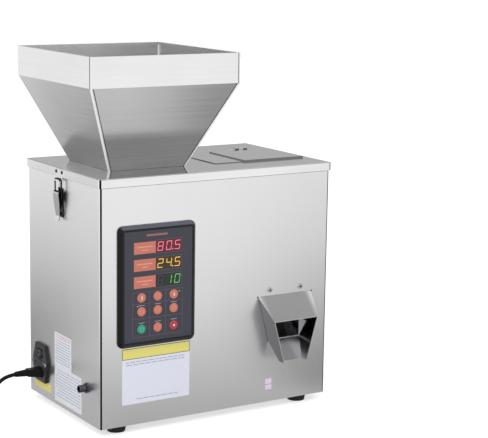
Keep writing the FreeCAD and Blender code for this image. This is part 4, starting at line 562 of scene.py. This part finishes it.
# The lead's way from the connector to its coil, and from the coil to the plug
LEAD_ROUTE = [(-47, 198.5, 41.3), (-60.5, 198.5, 40.1), (-72.5, 198.3, 34), (-89, 197.6, 19.5),
              (-108, 196, 3.5), (-130, 193, -6.6), (-153, 188.5, -9), (-175, 185, -9)]
TAIL_ROUTE = [(-223, 130, -3.7), (-221, 118, -1.4), (-219.3, 113, 0.5), (-219, 107, 1)]
COIL_MIDDLE = (-175, 140)
COIL_OUTSIDE, COIL_INSIDE, COIL_PITCH = 45, 30, 6
COIL_LOW, COIL_HIGH = -9, -3.8
COIL_TURNS, COIL_LAST_FLAT, COIL_LIFT = 7.25, 3.75, 0.9
TURN_POINTS = 24


def eased(t):
    """Nought to one with a soft start and end."""
    t = min(1, max(0, t))
    return t * t * (3 - 2 * t)


def stepped(t):
    """Whole turns, with a soft step in the last quarter of each."""
    return floor(t) + eased((t - floor(t) - 0.75) / 0.25)


def coil_point(t):
    """A point of the coil after t turns: inwards on the table, then outwards on top."""
    if t < COIL_LAST_FLAT:
        radius, up = COIL_OUTSIDE - COIL_PITCH * stepped(t), COIL_LOW
    elif t < 4:
        rise = eased((t - COIL_LAST_FLAT) / 0.25)
        radius, up = COIL_INSIDE - 3 + 3 * rise, COIL_LOW + (COIL_HIGH - COIL_LOW) * rise
    else:
        step = stepped(t - 4)
        radius = COIL_INSIDE + COIL_PITCH * step
        up = COIL_HIGH + COIL_LIFT * sin(pi * (step - floor(step)))
    turn = radians(90 + 360 * t)
    return (COIL_MIDDLE[0] + radius * cos(turn), COIL_MIDDLE[1] + radius * sin(turn), up)


class FILLER_OT_mains_lead(Step):
    """Lays the mains lead from the inlet's connector to its coil and plug"""
    bl_idname = "filler.mains_lead"
    bl_label = "Mains lead"

    def execute(self, context):
        width = context.scene.filler_sizes.lead_width
        turns = [coil_point(k / TURN_POINTS) for k in range(1, int(COIL_TURNS * TURN_POINTS) + 1)]
        line = [at(*p) for p in LEAD_ROUTE + turns + TAIL_ROUTE]
        curve = bpy.data.curves.new("mains_cord", "CURVE")
        curve.dimensions = "3D"
        curve.bevel_depth = width / 2
        curve.bevel_resolution = 5
        spline = curve.splines.new("NURBS")
        spline.points.add(len(line) - 1)
        for point, spot in zip(spline.points, line):
            point.co = (*spot, 1)
        spline.order_u = 3
        spline.use_endpoint_u = True
        spline.resolution_u = 4
        curve.use_fill_caps = True
        lead = bpy.data.objects.new("mains_cord", curve)
        context.scene.collection.objects.link(lead)
        dress(lead, bpy.data.materials["pvc_moulded_lead"])
        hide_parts("power_cord", "cord_coil", "cord_tail")
        return {"FINISHED"}


# The machine

class FILLER_OT_finishes(Step):
    """Gives every part of the model the material of its slot"""
    bl_idname = "filler.finishes"
    bl_label = "Finishes"

    def execute(self, context):
        materials = slot_materials(context.scene)
        for part in frame["record"]["subparts"]:
            node = frame["nodes"][part["node"]]
            node.data.materials.clear()
            node.data.materials.append(materials[part["material_slot"]])
        # Nickel plating deep in the latch, painted near black as a painted reflection of the
        # lever's dark inside
        shaded = plated("steel_nickel_plated_shaded", colour("#242427"), 0.16, 5.0)
        # Plating on the flat keeper and hinge, a lighter copy of the latch plating: painted
        # highlight of the pale room
        pale = plated("steel_nickel_plated_pale", colour("#F2F2F3"), 0.2, 5.0)
        # Fine-brushed sheet of the flap and its seat, whose cut edges are painted grey as painted
        # shadow
        steel = context.scene.filler_steel
        cut = retone(brushed_steel("stainless_fine_brushed_flap", steel.lid, steel.lid_matt,
                                   "x", 6.0),
                     ("Z", 0, 0.6, 0.3, colour("#808083")))
        finishes = {shaded: ("latch_bases", "latch_left_loop", "latch_right_loop", "latch_rivets"),
                    pale: ("latch_keepers", "flap_hinge_leaf", "flap_hinge_pin"),
                    cut: ("access_flap", "flap_seat_plate")}
        for material, nodes in finishes.items():
            for node in nodes:
                frame["nodes"][node].data.materials[0] = material
        return {"FINISHED"}


HOPPER_MIDDLE = (112, 129)
HOPPER_HALF, HOPPER_BASE_HALF, HOPPER_RISE, HOPPER_BAND, CASE_TOP = 124, 65.5, 129, 45, 372
# Radius of the painted shade line beside a bead, how deep a bead sits in its corner as a
# share of its radius, and the band's bead as a share of the cone's
WELD_SHADE_LINE, BEAD_INSET, BAND_BEAD = 0.6, 0.75, 0.6


class FILLER_OT_weld_seams(Step):
    """Adds weld beads on the hopper's corners, painted white as a highlight, with painted shade
    lines beside the front ones
    """
    bl_idname = "filler.weld_seams"
    bl_label = "Weld seams"

    def execute(self, context):
        # Stainless weld bead, painted white and partly metallic as a painted highlight along its
        # rounded edge
        painted_bright = moulded("stainless_weld_painted_white", WHITE, 0.5, 0.6, 0.00002, 0.02, Metallic=0.3)
        # Dark line on the sheet beside the weld: painted shade
        painted_shade_steel = brushed_steel("stainless_weld_shade_painted", colour("#2C2C2E"), 0.4, "z")
        radius = context.scene.filler_sizes.bead
        inset = radius / MM * BEAD_INSET
        low, high = CASE_TOP + 0.5, CASE_TOP + HOPPER_RISE
        top = high + HOPPER_BAND - 0.5
        for name, across, back in (("front_left", -1, -1), ("front_right", 1, -1),
                                   ("back_left", -1, 1), ("back_right", 1, 1)):
            def corner(half, up):
                reach = half - (inset if back < 0 else radius / MM + 0.1)
                return at(HOPPER_MIDDLE[0] + across * reach, HOPPER_MIDDLE[1] + back * reach, up)
            cone = [corner(HOPPER_BASE_HALF, low), corner(HOPPER_HALF, high)]
            band = [corner(HOPPER_HALF, high), corner(HOPPER_HALF, top)]
            dress(round_rod("cone_bead_" + name, cone, radius), painted_bright)
            dress(round_rod("band_bead_" + name, band, radius * BAND_BEAD), painted_bright)
            if back < 0:
                # the painted shade line runs on the face beside the bead
                beside = (-0.65, 0.75) if across < 0 else (-0.6, -0.65)
                lines = (("cone", cone, (-across * 1.35, -0.65)), ("band", band, beside))
                for label, run, (aside, ahead) in lines:
                    moved = [p + Vector((aside, ahead, 0)) * radius for p in run]
                    dress(round_rod("weld_shade_line_" + label + "_" + name, moved, WELD_SHADE_LINE * MM),
                          painted_shade_steel)
        return {"FINISHED"}


class FILLER_OT_lid_shadow_line(Step):
    """Lays a thin grey strip under the lid's flange: a painted shadow line"""
    bl_idname = "filler.lid_seal"
    bl_label = "Lid shadow line"

    def execute(self, context):
        # Grey dull strip between the lid and the case: painted shadow under the flange
        lid_shadow_paint = moulded("painted_lid_shadow_strip", colour("#5C5D60"), 0.8, 0.6, 0.00002, 0.05)
        low, high = ((corner - CASE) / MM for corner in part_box("case_shell"))
        under = (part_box("lid_tray")[0].z - CASE.z) / MM
        bend, tall, out = 3, 0.9, 0.35
        across = [box_outline(low.x + bend, under - tall, high.x - bend, under)]
        deep = [box_outline(low.y + bend, under - tall, high.y - bend, under)]
        sides = {"front": (across, on_front, 0), "left": (deep, on_left, 0),
                 "back": (across, lambda u, v, w: at(u, high.y + w, v), 0),
                 "right": (deep, lambda u, v, w: at(high.x + w, u, v), 0)}
        for name, (outline, face, inner) in sides.items():
            stick("lid_shadow_line_" + name, outline, face, inner, out, lid_shadow_paint)
        return {"FINISHED"}


def frame_outlines(left, low, right, top, thin):
    """Four thin bars round a rectangle."""
    return [box_outline(left, low, left + thin, top), box_outline(right - thin, low, right, top),
            box_outline(left + thin, low, right - thin, low + thin),
            box_outline(left + thin, top - thin, right - thin, top)]


def dashes(left, right, rows):
    """Short thin dashes in level rows, which stand for fine print."""
    outlines = []
    for number, row in enumerate(rows):
        along = left
        while along < right - 4:
            run = 5 + (number * 5 + int(along) * 3) % 7
            outlines.append(box_outline(along, row, min(along + run, right), row + 1.3))
            along += run + 1.6
    return outlines


# Places of the stuck labels, in millimetres from the case's lower front left corner: the
# stepped one and the strip on the left side, and the two on the front
SIDE_STEPS = [(62, 6), (154, 6), (154, 115), (96, 115), (96, 63), (62, 63)]
SIDE_STRIP = box_outline(169, 12, 225, 24)
FRONT_LABEL, FRONT_FIELD = box_outline(36, 32, 150, 117), box_outline(38, 34, 148, 99)
FRONT_BAND = box_outline(36.8, 101.5, 149.2, 116.2)
CHUTE_LABEL = box_outline(286.5, 18.5, 300.5, 38)
LINE_GAP_TOP, LINE_GAP_LOW = 4.2, 4.6


class FILLER_OT_labels(Step):
    """Sticks blank labels on the case's left side and front"""
    bl_idname = "filler.labels"
    bl_label = "Labels"

    def execute(self, context):
        colours = context.scene.filler_colours
        thick = context.scene.filler_sizes.label_sheet / MM
        white, band = paper("label", colours.paper), paper("yellow", colours.warning, 0.03)
        grey = ink("grey", colour("#AAAEBE"), 0.6)
        base, low, high = 0.01, thick - 0.05, thick + 0.03
        stick("side_label", [SIDE_STEPS], on_left, base, thick, white)
        stick("side_strip", [SIDE_STRIP], on_left, base, thick, band)
        rows = (dashes(100, 150, [102.5 - LINE_GAP_TOP * k for k in range(9)])
                + dashes(66, 150, [56 - LINE_GAP_LOW * k for k in range(10)]))
        stick("side_lines", rows, on_left, low, high, grey)
        stick("side_top_line", dashes(100, 150, (110.6, 107.2)), on_left, low, high,
              ink("red", colour("#DBA3A3"), 0.6))
        stick("front_label", [FRONT_LABEL], on_front, base, thick, white)
        stick("front_label_field", [FRONT_FIELD], on_front, low, high, paper("tint", colours.tint))
        stick("front_label_band", [FRONT_BAND], on_front, low, high, band)
        stick("front_label_edge", frame_outlines(36, 100.7, 150, 117, 0.8), on_front, low, high,
              ink("black", colour("#2A2A2C"), 0.6))
        fine = dashes(42, 144, (95.5, 91.5)) + dashes(60, 130, (38.5,))
        stick("front_label_lines", fine, on_front, high - 0.02, high + 0.03, grey)
        stick("chute_label", [CHUTE_LABEL], on_front, base, thick,
              paper("lavender", colour("#E6DCEC")))
        panes = frame_outlines(286.9, 18.9, 300.1, 37.6, 0.5)
        panes.append(box_outline(287.4, 27.6, 299.6, 28.2))
        stick("chute_label_lines", panes, on_front, low, high, ink("mauve", colour("#8B6A8E"), 0.6))
        return {"FINISHED"}


def spot_of(node):
    """A node's middle across and up the case's front, in millimetres."""
    low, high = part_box(node)
    middle = ((low + high) / 2 - CASE) / MM
    return middle.x, middle.z


KEY_NAMES = ("zero", "gain", "up", "set", "back", "down", "start", "mode", "stop")
KEY_SPOTS = {name: spot_of("key_" + name) for name in KEY_NAMES}
FILM_OUT, WINDOW_OUT, KEY_OUT = 7.0, 6.5, 8.1
DISPLAY_TALL = 18.4
DISPLAY_LEFT, _, DISPLAY_BOTTOM = (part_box("display_modules")[0] - CASE) / MM
DISPLAY_RIGHT, _, DISPLAY_TOP = (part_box("display_modules")[1] - CASE) / MM
DISPLAY_STEP = (DISPLAY_TOP - DISPLAY_BOTTOM - DISPLAY_TALL) / 2
DISPLAY_LOW = [DISPLAY_BOTTOM + k * DISPLAY_STEP for k in (2, 1, 0)]
FRAME_LEFT, FRAME_RIGHT, FRAME_LOW, FRAME_TOP = 49.2, 133.4, 134.6, 202.2
# Left and right edges of the orange blocks, and the level and upright lines in the frame
# round the keys
BLOCK_LEFT, BLOCK_RIGHT = 51.3, 87.2
FRAME_UPRIGHTS, FRAME_LEVELS, FRAME_LINE = (77.3, 104.4), (184.6, 162.2), 0.6


class FILLER_OT_panel_print(Step):
    """Prints the blocks, frames, dots and bars of the panel film"""
    bl_idname = "filler.panel_print"
    bl_label = "Panel print"

    def execute(self, context):
        thick = context.scene.filler_sizes.print_sheet / MM
        low, high = FILM_OUT - 0.02, FILM_OUT + thick
        # Screen-printed inks on the film's face: flat and matt
        orange = ink("orange", context.scene.filler_colours.block)
        rose, pale, salmon, faded = (ink(name, colour(tone)) for name, tone in (
            ("rose", "#6B5A64"), ("pale", "#A9ACB6"), ("salmon", "#E8A590"), ("faded", "#9A6A60")))
        blocks = [box_outline(BLOCK_LEFT, z + 0.3, BLOCK_RIGHT, z + 17.8) for z in DISPLAY_LOW]
        stick("panel_blocks", blocks, on_front, low, high, orange)
        bars = [box_outline(56, z + 9.8, 82, z + 11.2) for z in DISPLAY_LOW]
        bars += [box_outline(64, z + 5.2, 75, z + 6.4) for z in DISPLAY_LOW]
        stick("panel_block_bars", bars, on_front, high - 0.02, high + 0.04, salmon)
        thin = FRAME_LINE
        lines = frame_outlines(FRAME_LEFT, FRAME_LOW, FRAME_RIGHT, FRAME_TOP, thin)
        lines += [box_outline(x, FRAME_LOW + thin, x + thin, FRAME_TOP - thin)
                  for x in FRAME_UPRIGHTS]
        stick("panel_frame", lines, on_front, low, high, rose)
        rows = [box_outline(FRAME_LEFT + thin, z, FRAME_RIGHT - thin, z + thin)
                for z in FRAME_LEVELS]
        stick("panel_rows", rows, on_front, high - 0.02, high + 0.03, rose)
        windows = []
        for z in DISPLAY_LOW:
            windows += frame_outlines(DISPLAY_LEFT - 0.3, z - 0.8, DISPLAY_RIGHT + 0.8,
                                      z + DISPLAY_TALL + 0.8, thin)
        stick("window_frame", windows, on_front, low, high, rose)
        marks = [disc_outline(x, z, 1.1, 10) for x, z in ((127.5, 197.5), (57.5, 181.5))]
        marks += [box_outline(x - 5, z + 8.9, x + 5, z + 9.7)
                  for x, z in KEY_SPOTS.values() if z < 190]
        stick("panel_dots", marks, on_front, low, high, pale)
        stick("panel_title_bar", [box_outline(72, 284.6, 107, 287.6)], on_front, low, high, faded)
        return {"FINISHED"}


SEGMENT_NAMES = {"0": "abcdef", "1": "bc", "2": "abdeg", "4": "bcfg", "5": "acdfg", "8": "abcdefg"}
DIGIT_TALL, DIGIT_WIDE, DIGIT_STROKE, DIGIT_SLANT = 13.6, 9.0, 1.05, 8
DIGIT_SPOTS = (95.6, 109.9, 124.2)
POINT_AT, DIGIT_GLOW = 116, 0.7


def segment_outlines(names, u, v):
    """Outlines of a slanted digit's lit strokes about its middle."""
    half, mid, s, gap = DIGIT_WIDE / 2, DIGIT_TALL / 2, DIGIT_STROKE, 0.3
    level = {"a": mid - s / 2, "g": 0.0, "d": s / 2 - mid}
    upright = {"f": (-1, 1), "b": (1, 1), "e": (-1, -1), "c": (1, -1)}
    outlines = []
    for name in names:
        if name in level:
            y, reach = level[name], half - s / 2 - gap
            shape = [(-reach - s / 2, y), (-reach, y - s / 2), (reach, y - s / 2),
                     (reach + s / 2, y), (reach, y + s / 2), (-reach, y + s / 2)]
        else:
            side, end = upright[name]
            x = side * (half - s / 2)
            near, far = gap, mid - s / 2 - gap
            shape = [(x, end * near), (x + s / 2, end * (near + s / 2)),
                     (x + s / 2, end * (far - s / 4)), (x, end * (far + s / 4)),
                     (x - s / 2, end * (far - s / 4)), (x - s / 2, end * (near + s / 2))]
        outlines.append([(u + x + y * tan(radians(DIGIT_SLANT)), v + y) for x, y in shape])
    return outlines


class FILLER_OT_displays(Step):
    """Tints the display windows and lights their digits"""
    bl_idname = "filler.displays"
    bl_label = "Displays"

    def execute(self, context):
        colours = context.scene.filler_colours
        rows = (("red", "#5E0A22", "805", colours.light_red),
                ("amber", "#3A2A0E", "245", colours.light_amber),
                ("green", "#0E2B14", " 10", colours.light_green))
        for low, (name, tint, digits, light) in zip(DISPLAY_LOW, rows):
            # Acrylic filter tinted for its digits: glossy and dark
            window = moulded("acrylic_tinted_" + name, colour(tint), 0.2, 0.8, 0.00001)
            glass = box_outline(DISPLAY_LEFT + 0.3, low + 0.3,
                                DISPLAY_RIGHT - 0.3, low + DISPLAY_TALL - 0.3)
            stick("window_" + name, [glass], on_front, WINDOW_OUT - 0.05, WINDOW_OUT + 0.1,
                  window)
            middle = low + DISPLAY_TALL / 2
            strokes = []
            for spot, digit in zip(DIGIT_SPOTS, digits):
                if digit != " ":
                    strokes += segment_outlines(SEGMENT_NAMES[digit], spot, middle)
            if name == "green":
                # The unlit digit shows faintly: clear epoxy in a dark well behind the window
                unlit = moulded("epoxy_unlit", colour("#434C55"), 0.4, 0.5, 0.00001)
                well = moulded("acrylic_dark_well", colour("#14171C"), 0.2, 0.8, 0.00001)
                side = (DIGIT_SPOTS[0] + DIGIT_SPOTS[1]) / 2
                shade = box_outline(DISPLAY_LEFT + 0.5, low + 0.5, side, low + DISPLAY_TALL - 0.5)
                stick("window_unlit", [shade], on_front, WINDOW_OUT + 0.08, WINDOW_OUT + 0.12,
                      well)
                blank = segment_outlines(SEGMENT_NAMES["8"], DIGIT_SPOTS[0], middle)
                stick("digit_unlit", blank, on_front, WINDOW_OUT + 0.1, WINDOW_OUT + 0.2,
                      unlit)
            else:
                strokes.append(disc_outline(POINT_AT, middle - DIGIT_TALL / 2 + 0.9, 1.0, 10))
            stick("digits_" + name, strokes, on_front, WINDOW_OUT + 0.08, WINDOW_OUT + 0.2,
                  lit("epoxy_lit_" + name, light, DIGIT_GLOW))
        return {"FINISHED"}


class FILLER_OT_key_marks(Step):
    """Prints a simple mark on each key, which moves with the key"""
    bl_idname = "filler.key_marks"
    bl_label = "Key marks"

    def execute(self, context):
        thick = context.scene.filler_sizes.print_sheet / MM
        # Pad-printed inks, thin enough for the key to show through: strong on two keys and
        # on stop, faint on the others
        inks = {name: ink(name, colour(tone), 0.5, 0.02) for name, tone in (
            ("strong", "#F6E6E0"), ("green", "#62BFA0"), ("faint", "#E2957D"))}
        strengths = {"zero": "strong", "up": "strong", "stop": "strong", "start": "green"}
        for name, (u, v) in KEY_SPOTS.items():
            if name in ("zero", "up"):
                outlines = [box_outline(u - 0.8, v - 2.6, u + 0.8, v + 2.6)]
            elif name == "stop":
                outlines = [disc_outline(u, v, 1.6)]
            elif name == "start":
                outlines = ring_outlines(u, v, 3.4, 2.5, gap_at=90)
                outlines.append(box_outline(u - 0.5, v + 0.6, u + 0.5, v + 4))
            else:
                outlines = ring_outlines(u, v, 3.2, 2.4)
            mark = plates("mark_" + name, outlines, on_front, KEY_OUT - 0.02, KEY_OUT + thick)
            dress(mark, inks[strengths.get(name, "faint")], "button_" + name)
        return {"FINISHED"}


ROCKER_AXIS = (-2.5, 70.2)
ROCKER_FACE = ((-6.73, 76.75), (-5.07, 70.56), (-8.37, 65.07))
INLET_MIDDLE = 198.5


class FILLER_OT_switch_marks(Step):
    """Prints the on and off marks on the rocker, which move with it"""
    bl_idname = "filler.switch_marks"
    bl_label = "Switch marks"

    def execute(self, context):
        # Pad-printed marks worn dull by use
        worn = ink("worn", colour("#85868C"), 0.6)
        top, middle, bottom = (Vector((x, 0, z)) for x, z in ROCKER_FACE)

        def on_face(start, end):
            along = end - start
            out = Vector((along.z, 0, -along.x)).normalized()
            if out.x > 0:
                out = -out
            return lambda u, v, w: at(*(start + along * v
                                        + Vector((0, INLET_MIDDLE + u, 0)) + out * w))

        bar = plates("rocker_mark_on", [box_outline(-0.6, 0.25, 0.6, 0.75)],
                     on_face(middle, top), -0.02, 0.08)
        dress(bar, worn, "rocker")
        ring = ring_outlines(0, 0, 1.9, 1.2)
        squeezed = [[(u, 0.5 + v / 6.4) for u, v in outline] for outline in ring]
        dress(plates("rocker_mark_off", squeezed, on_face(middle, bottom), -0.02, 0.08),
              worn, "rocker")
        return {"FINISHED"}


class FILLER_OT_recesses(Step):
    """Lays dark crosses on the heads of the visible screws and dark discs on the chute: painted
    shade in their recesses and notches
    """
    bl_idname = "filler.recesses"
    bl_label = "Screw recesses"

    def execute(self, context):
        # Cross recess of a plated screw, painted dark as painted shade
        painted_dark = moulded("steel_recess_painted_shade", colour("#1B1C1E"), 0.5, 0.5, 0.00002, 0.05,
                       Metallic=1.0)
        half, arm = context.scene.filler_sizes.recess / MM / 2, 0.55
        for name, face, u, v, out in (
                ("chute_left", on_front, CHUTE_MIDDLE - 28.2, 179, 2.4),
                ("chute_right", on_front, CHUTE_MIDDLE + 28.2, 179, 2.4),
                ("inlet_front", on_left, INLET_MIDDLE - 20, 54.7, 7.4),
                ("inlet_back", on_left, INLET_MIDDLE + 20, 54.7, 7.4)):
            cross = [box_outline(u - half, v - arm, u + half, v + arm),
                     box_outline(u - arm, v - half, u + arm, v + half)]
            stick("recess_" + name, cross, face, out - 0.3, out + 0.05, painted_dark)
        # Two notches in the chute, painted dark as painted shade
        notches = [disc_outline(CHUTE_MIDDLE + side * 50, 169.6, 1.3, 12) for side in (-1, 1)]
        stick("chute_notches", notches, on_front, 0.01, 0.2, painted_dark)
        return {"FINISHED"}


# Stage

ROOM_MIDDLE = (0, 0, 0.25)
LAMP_SPOT, LAMP_SIZE = (-1.6, -1.6, 1.9), 1.6
# Metres from the machine at which the floor is darkest and palest to polished metal, and
# how bright it is there
SHADE_NEAR, SHADE_FAR, FLOOR_FAR = 0.2, 1.15, 0.98
# Soft grey areas of the room as polished metal sees them: direction from the machine,
# degrees out to which each is even, degrees at which it ends, and its tone
ROOM_AREAS = (
    ((0.53, -0.55, 0.64), 12, 40, "#8A8A8A"),
    ((0.72, 0.66, 0.22), 16, 50, "#B2B2B2"),
    ((-0.42, 0.82, -0.43), 5, 24.5, "#9C9C9C"),
    ((-0.21, 0.83, 0.55), 14, 38, "#8A8A8A"),
    ((0.74, -0.55, -0.38), 6, 26, "#ACACAC"),
)


def room_tone(tree, direction):
    """The room's grey in a direction, as polished metal sees it."""
    tone = WHITE
    for toward, even, end, grey in ROOM_AREAS:
        near = add(tree, "ShaderNodeVectorMath", {0: direction, 1: Vector(toward).normalized()},
                   operation="DOT_PRODUCT").outputs["Value"]
        share = add(tree, "ShaderNodeMapRange", {"Value": near, "From Min": cos(radians(end)),
                                                 "From Max": cos(radians(even))},
                    interpolation_type="SMOOTHSTEP").outputs["Result"]
        tone = blend(tree, share, tone, colour(grey))
    return tone


class FILLER_OT_stage(Step):
    """Sets the floor, the room light and the lamp"""
    bl_idname = "filler.stage"
    bl_label = "Stage"

    def execute(self, context):
        scene, settings = context.scene, context.scene.filler_stage
        scene.view_settings.view_transform = "Standard"
        self.make_floor(settings)
        self.make_room(scene, settings)
        lamp = bpy.data.lights.new("key_lamp", "AREA")
        lamp.size = LAMP_SIZE
        lamp.energy = settings.key_power
        key = bpy.data.objects.new("key_lamp", lamp)
        scene.collection.objects.link(key)
        key.location = LAMP_SPOT
        aim = Vector(ROOM_MIDDLE) - key.location
        key.rotation_euler = aim.to_track_quat("-Z", "Y").to_euler()
        key.visible_glossy = False
        return {"FINISHED"}

    def make_room(self, scene, settings):
        """An even room: white to the eye, softly grey in places to polished metal."""
        world = bpy.data.worlds.new("room")
        scene.world = world
        world.use_nodes = True
        tree = world.node_tree
        tree.nodes.clear()
        path = add(tree, "ShaderNodeLightPath").outputs
        toward = add(tree, "ShaderNodeTexCoord").outputs["Generated"]
        seen = calc(tree, "MAXIMUM", path["Is Camera Ray"], path["Is Glossy Ray"])
        seen = calc(tree, "MAXIMUM", seen, path["Is Transmission Ray"])
        strength = ramp(tree, seen, 0.0, 1.0, settings.sky, 1.0)
        tone = blend(tree, path["Is Glossy Ray"], WHITE, room_tone(tree, toward))
        glow = add(tree, "ShaderNodeBackground", {"Color": tone, "Strength": strength})
        add(tree, "ShaderNodeOutputWorld", {"Surface": glow.outputs[0]})

    def make_floor(self, settings):
        """A pale floor that polished metal sees in its own grey, darker near the machine."""
        made = bmesh.new()
        half = settings.floor_size / 2
        corners = [(-half, -half), (half, -half), (half, half), (-half, half)]
        made.faces.new([made.verts.new((x, y, 0)) for x, y in corners])
        floor_piece = mesh_piece("floor", made)
        # Matt painted board: pale, and lifted to white for the eye
        material = new_material("board_painted_matt", settings.floor_tone, Roughness=0.9)
        tree = material.node_tree
        shader = tree.nodes["Principled BSDF"]
        path = add(tree, "ShaderNodeLightPath").outputs
        shader.inputs["Emission Color"].default_value = WHITE
        lift = calc(tree, "MULTIPLY", path["Is Camera Ray"], settings.floor_lift)
        tree.links.new(lift, shader.inputs["Emission Strength"])
        spot = add(tree, "ShaderNodeTexCoord").outputs["Object"]
        reach = add(tree, "ShaderNodeVectorMath", {0: spot}, operation="LENGTH").outputs["Value"]
        shade = ramp(tree, reach, SHADE_NEAR, SHADE_FAR, settings.floor_shade, FLOOR_FAR)
        toward = add(tree, "ShaderNodeVectorMath", {0: spot, 1: ROOM_MIDDLE}, operation="SUBTRACT")
        toward = add(tree, "ShaderNodeVectorMath", {0: toward.outputs[0]}, operation="NORMALIZE")
        mirrored = add(tree, "ShaderNodeEmission", {"Color": room_tone(tree, toward.outputs[0]),
                                                    "Strength": shade})
        both = add(tree, "ShaderNodeMixShader", {0: path["Is Glossy Ray"], 1: shader.outputs[0],
                                                 2: mirrored.outputs[0]})
        tree.links.new(both.outputs[0], tree.nodes["Material Output"].inputs["Surface"])
        floor_piece.data.materials.append(material)


PIECES = (FILLER_OT_finishes, FILLER_OT_camera, FILLER_OT_mains_lead, FILLER_OT_weld_seams,
          FILLER_OT_lid_shadow_line, FILLER_OT_labels, FILLER_OT_panel_print, FILLER_OT_displays,
          FILLER_OT_key_marks, FILLER_OT_switch_marks, FILLER_OT_recesses, FILLER_OT_stage)


class FILLER_PT_sidebar(bpy.types.Panel):
    """Lists the pieces and their settings"""
    bl_idname = "FILLER_PT_sidebar"
    bl_label = "Filling machine"
    bl_space_type = "VIEW_3D"
    bl_region_type = "UI"
    bl_category = "Filler"

    def draw(self, context):
        for piece in PIECES:
            self.layout.operator(piece.bl_idname)
        for name in PROPERTY_GROUPS:
            group = getattr(context.scene, name)
            box = self.layout.box()
            for setting in group.bl_rna.properties:
                if setting.identifier not in ("rna_type", "name"):
                    box.prop(group, setting.identifier)


def register():
    for group in PROPERTY_GROUPS.values():
        bpy.utils.register_class(group)
    for piece in PIECES:
        bpy.utils.register_class(piece)
    bpy.utils.register_class(FILLER_PT_sidebar)
    for name, group in PROPERTY_GROUPS.items():
        setattr(bpy.types.Scene, name, PointerProperty(type=group))


def unregister():
    for name in PROPERTY_GROUPS:
        delattr(bpy.types.Scene, name)
    bpy.utils.unregister_class(FILLER_PT_sidebar)
    for piece in reversed(PIECES):
        bpy.utils.unregister_class(piece)
    for group in PROPERTY_GROUPS.values():
        bpy.utils.unregister_class(group)


def main():
    register()
    for piece in PIECES:
        getattr(bpy.ops.filler, piece.bl_idname.split(".")[1])()


if __name__ == "__main__":
    main()
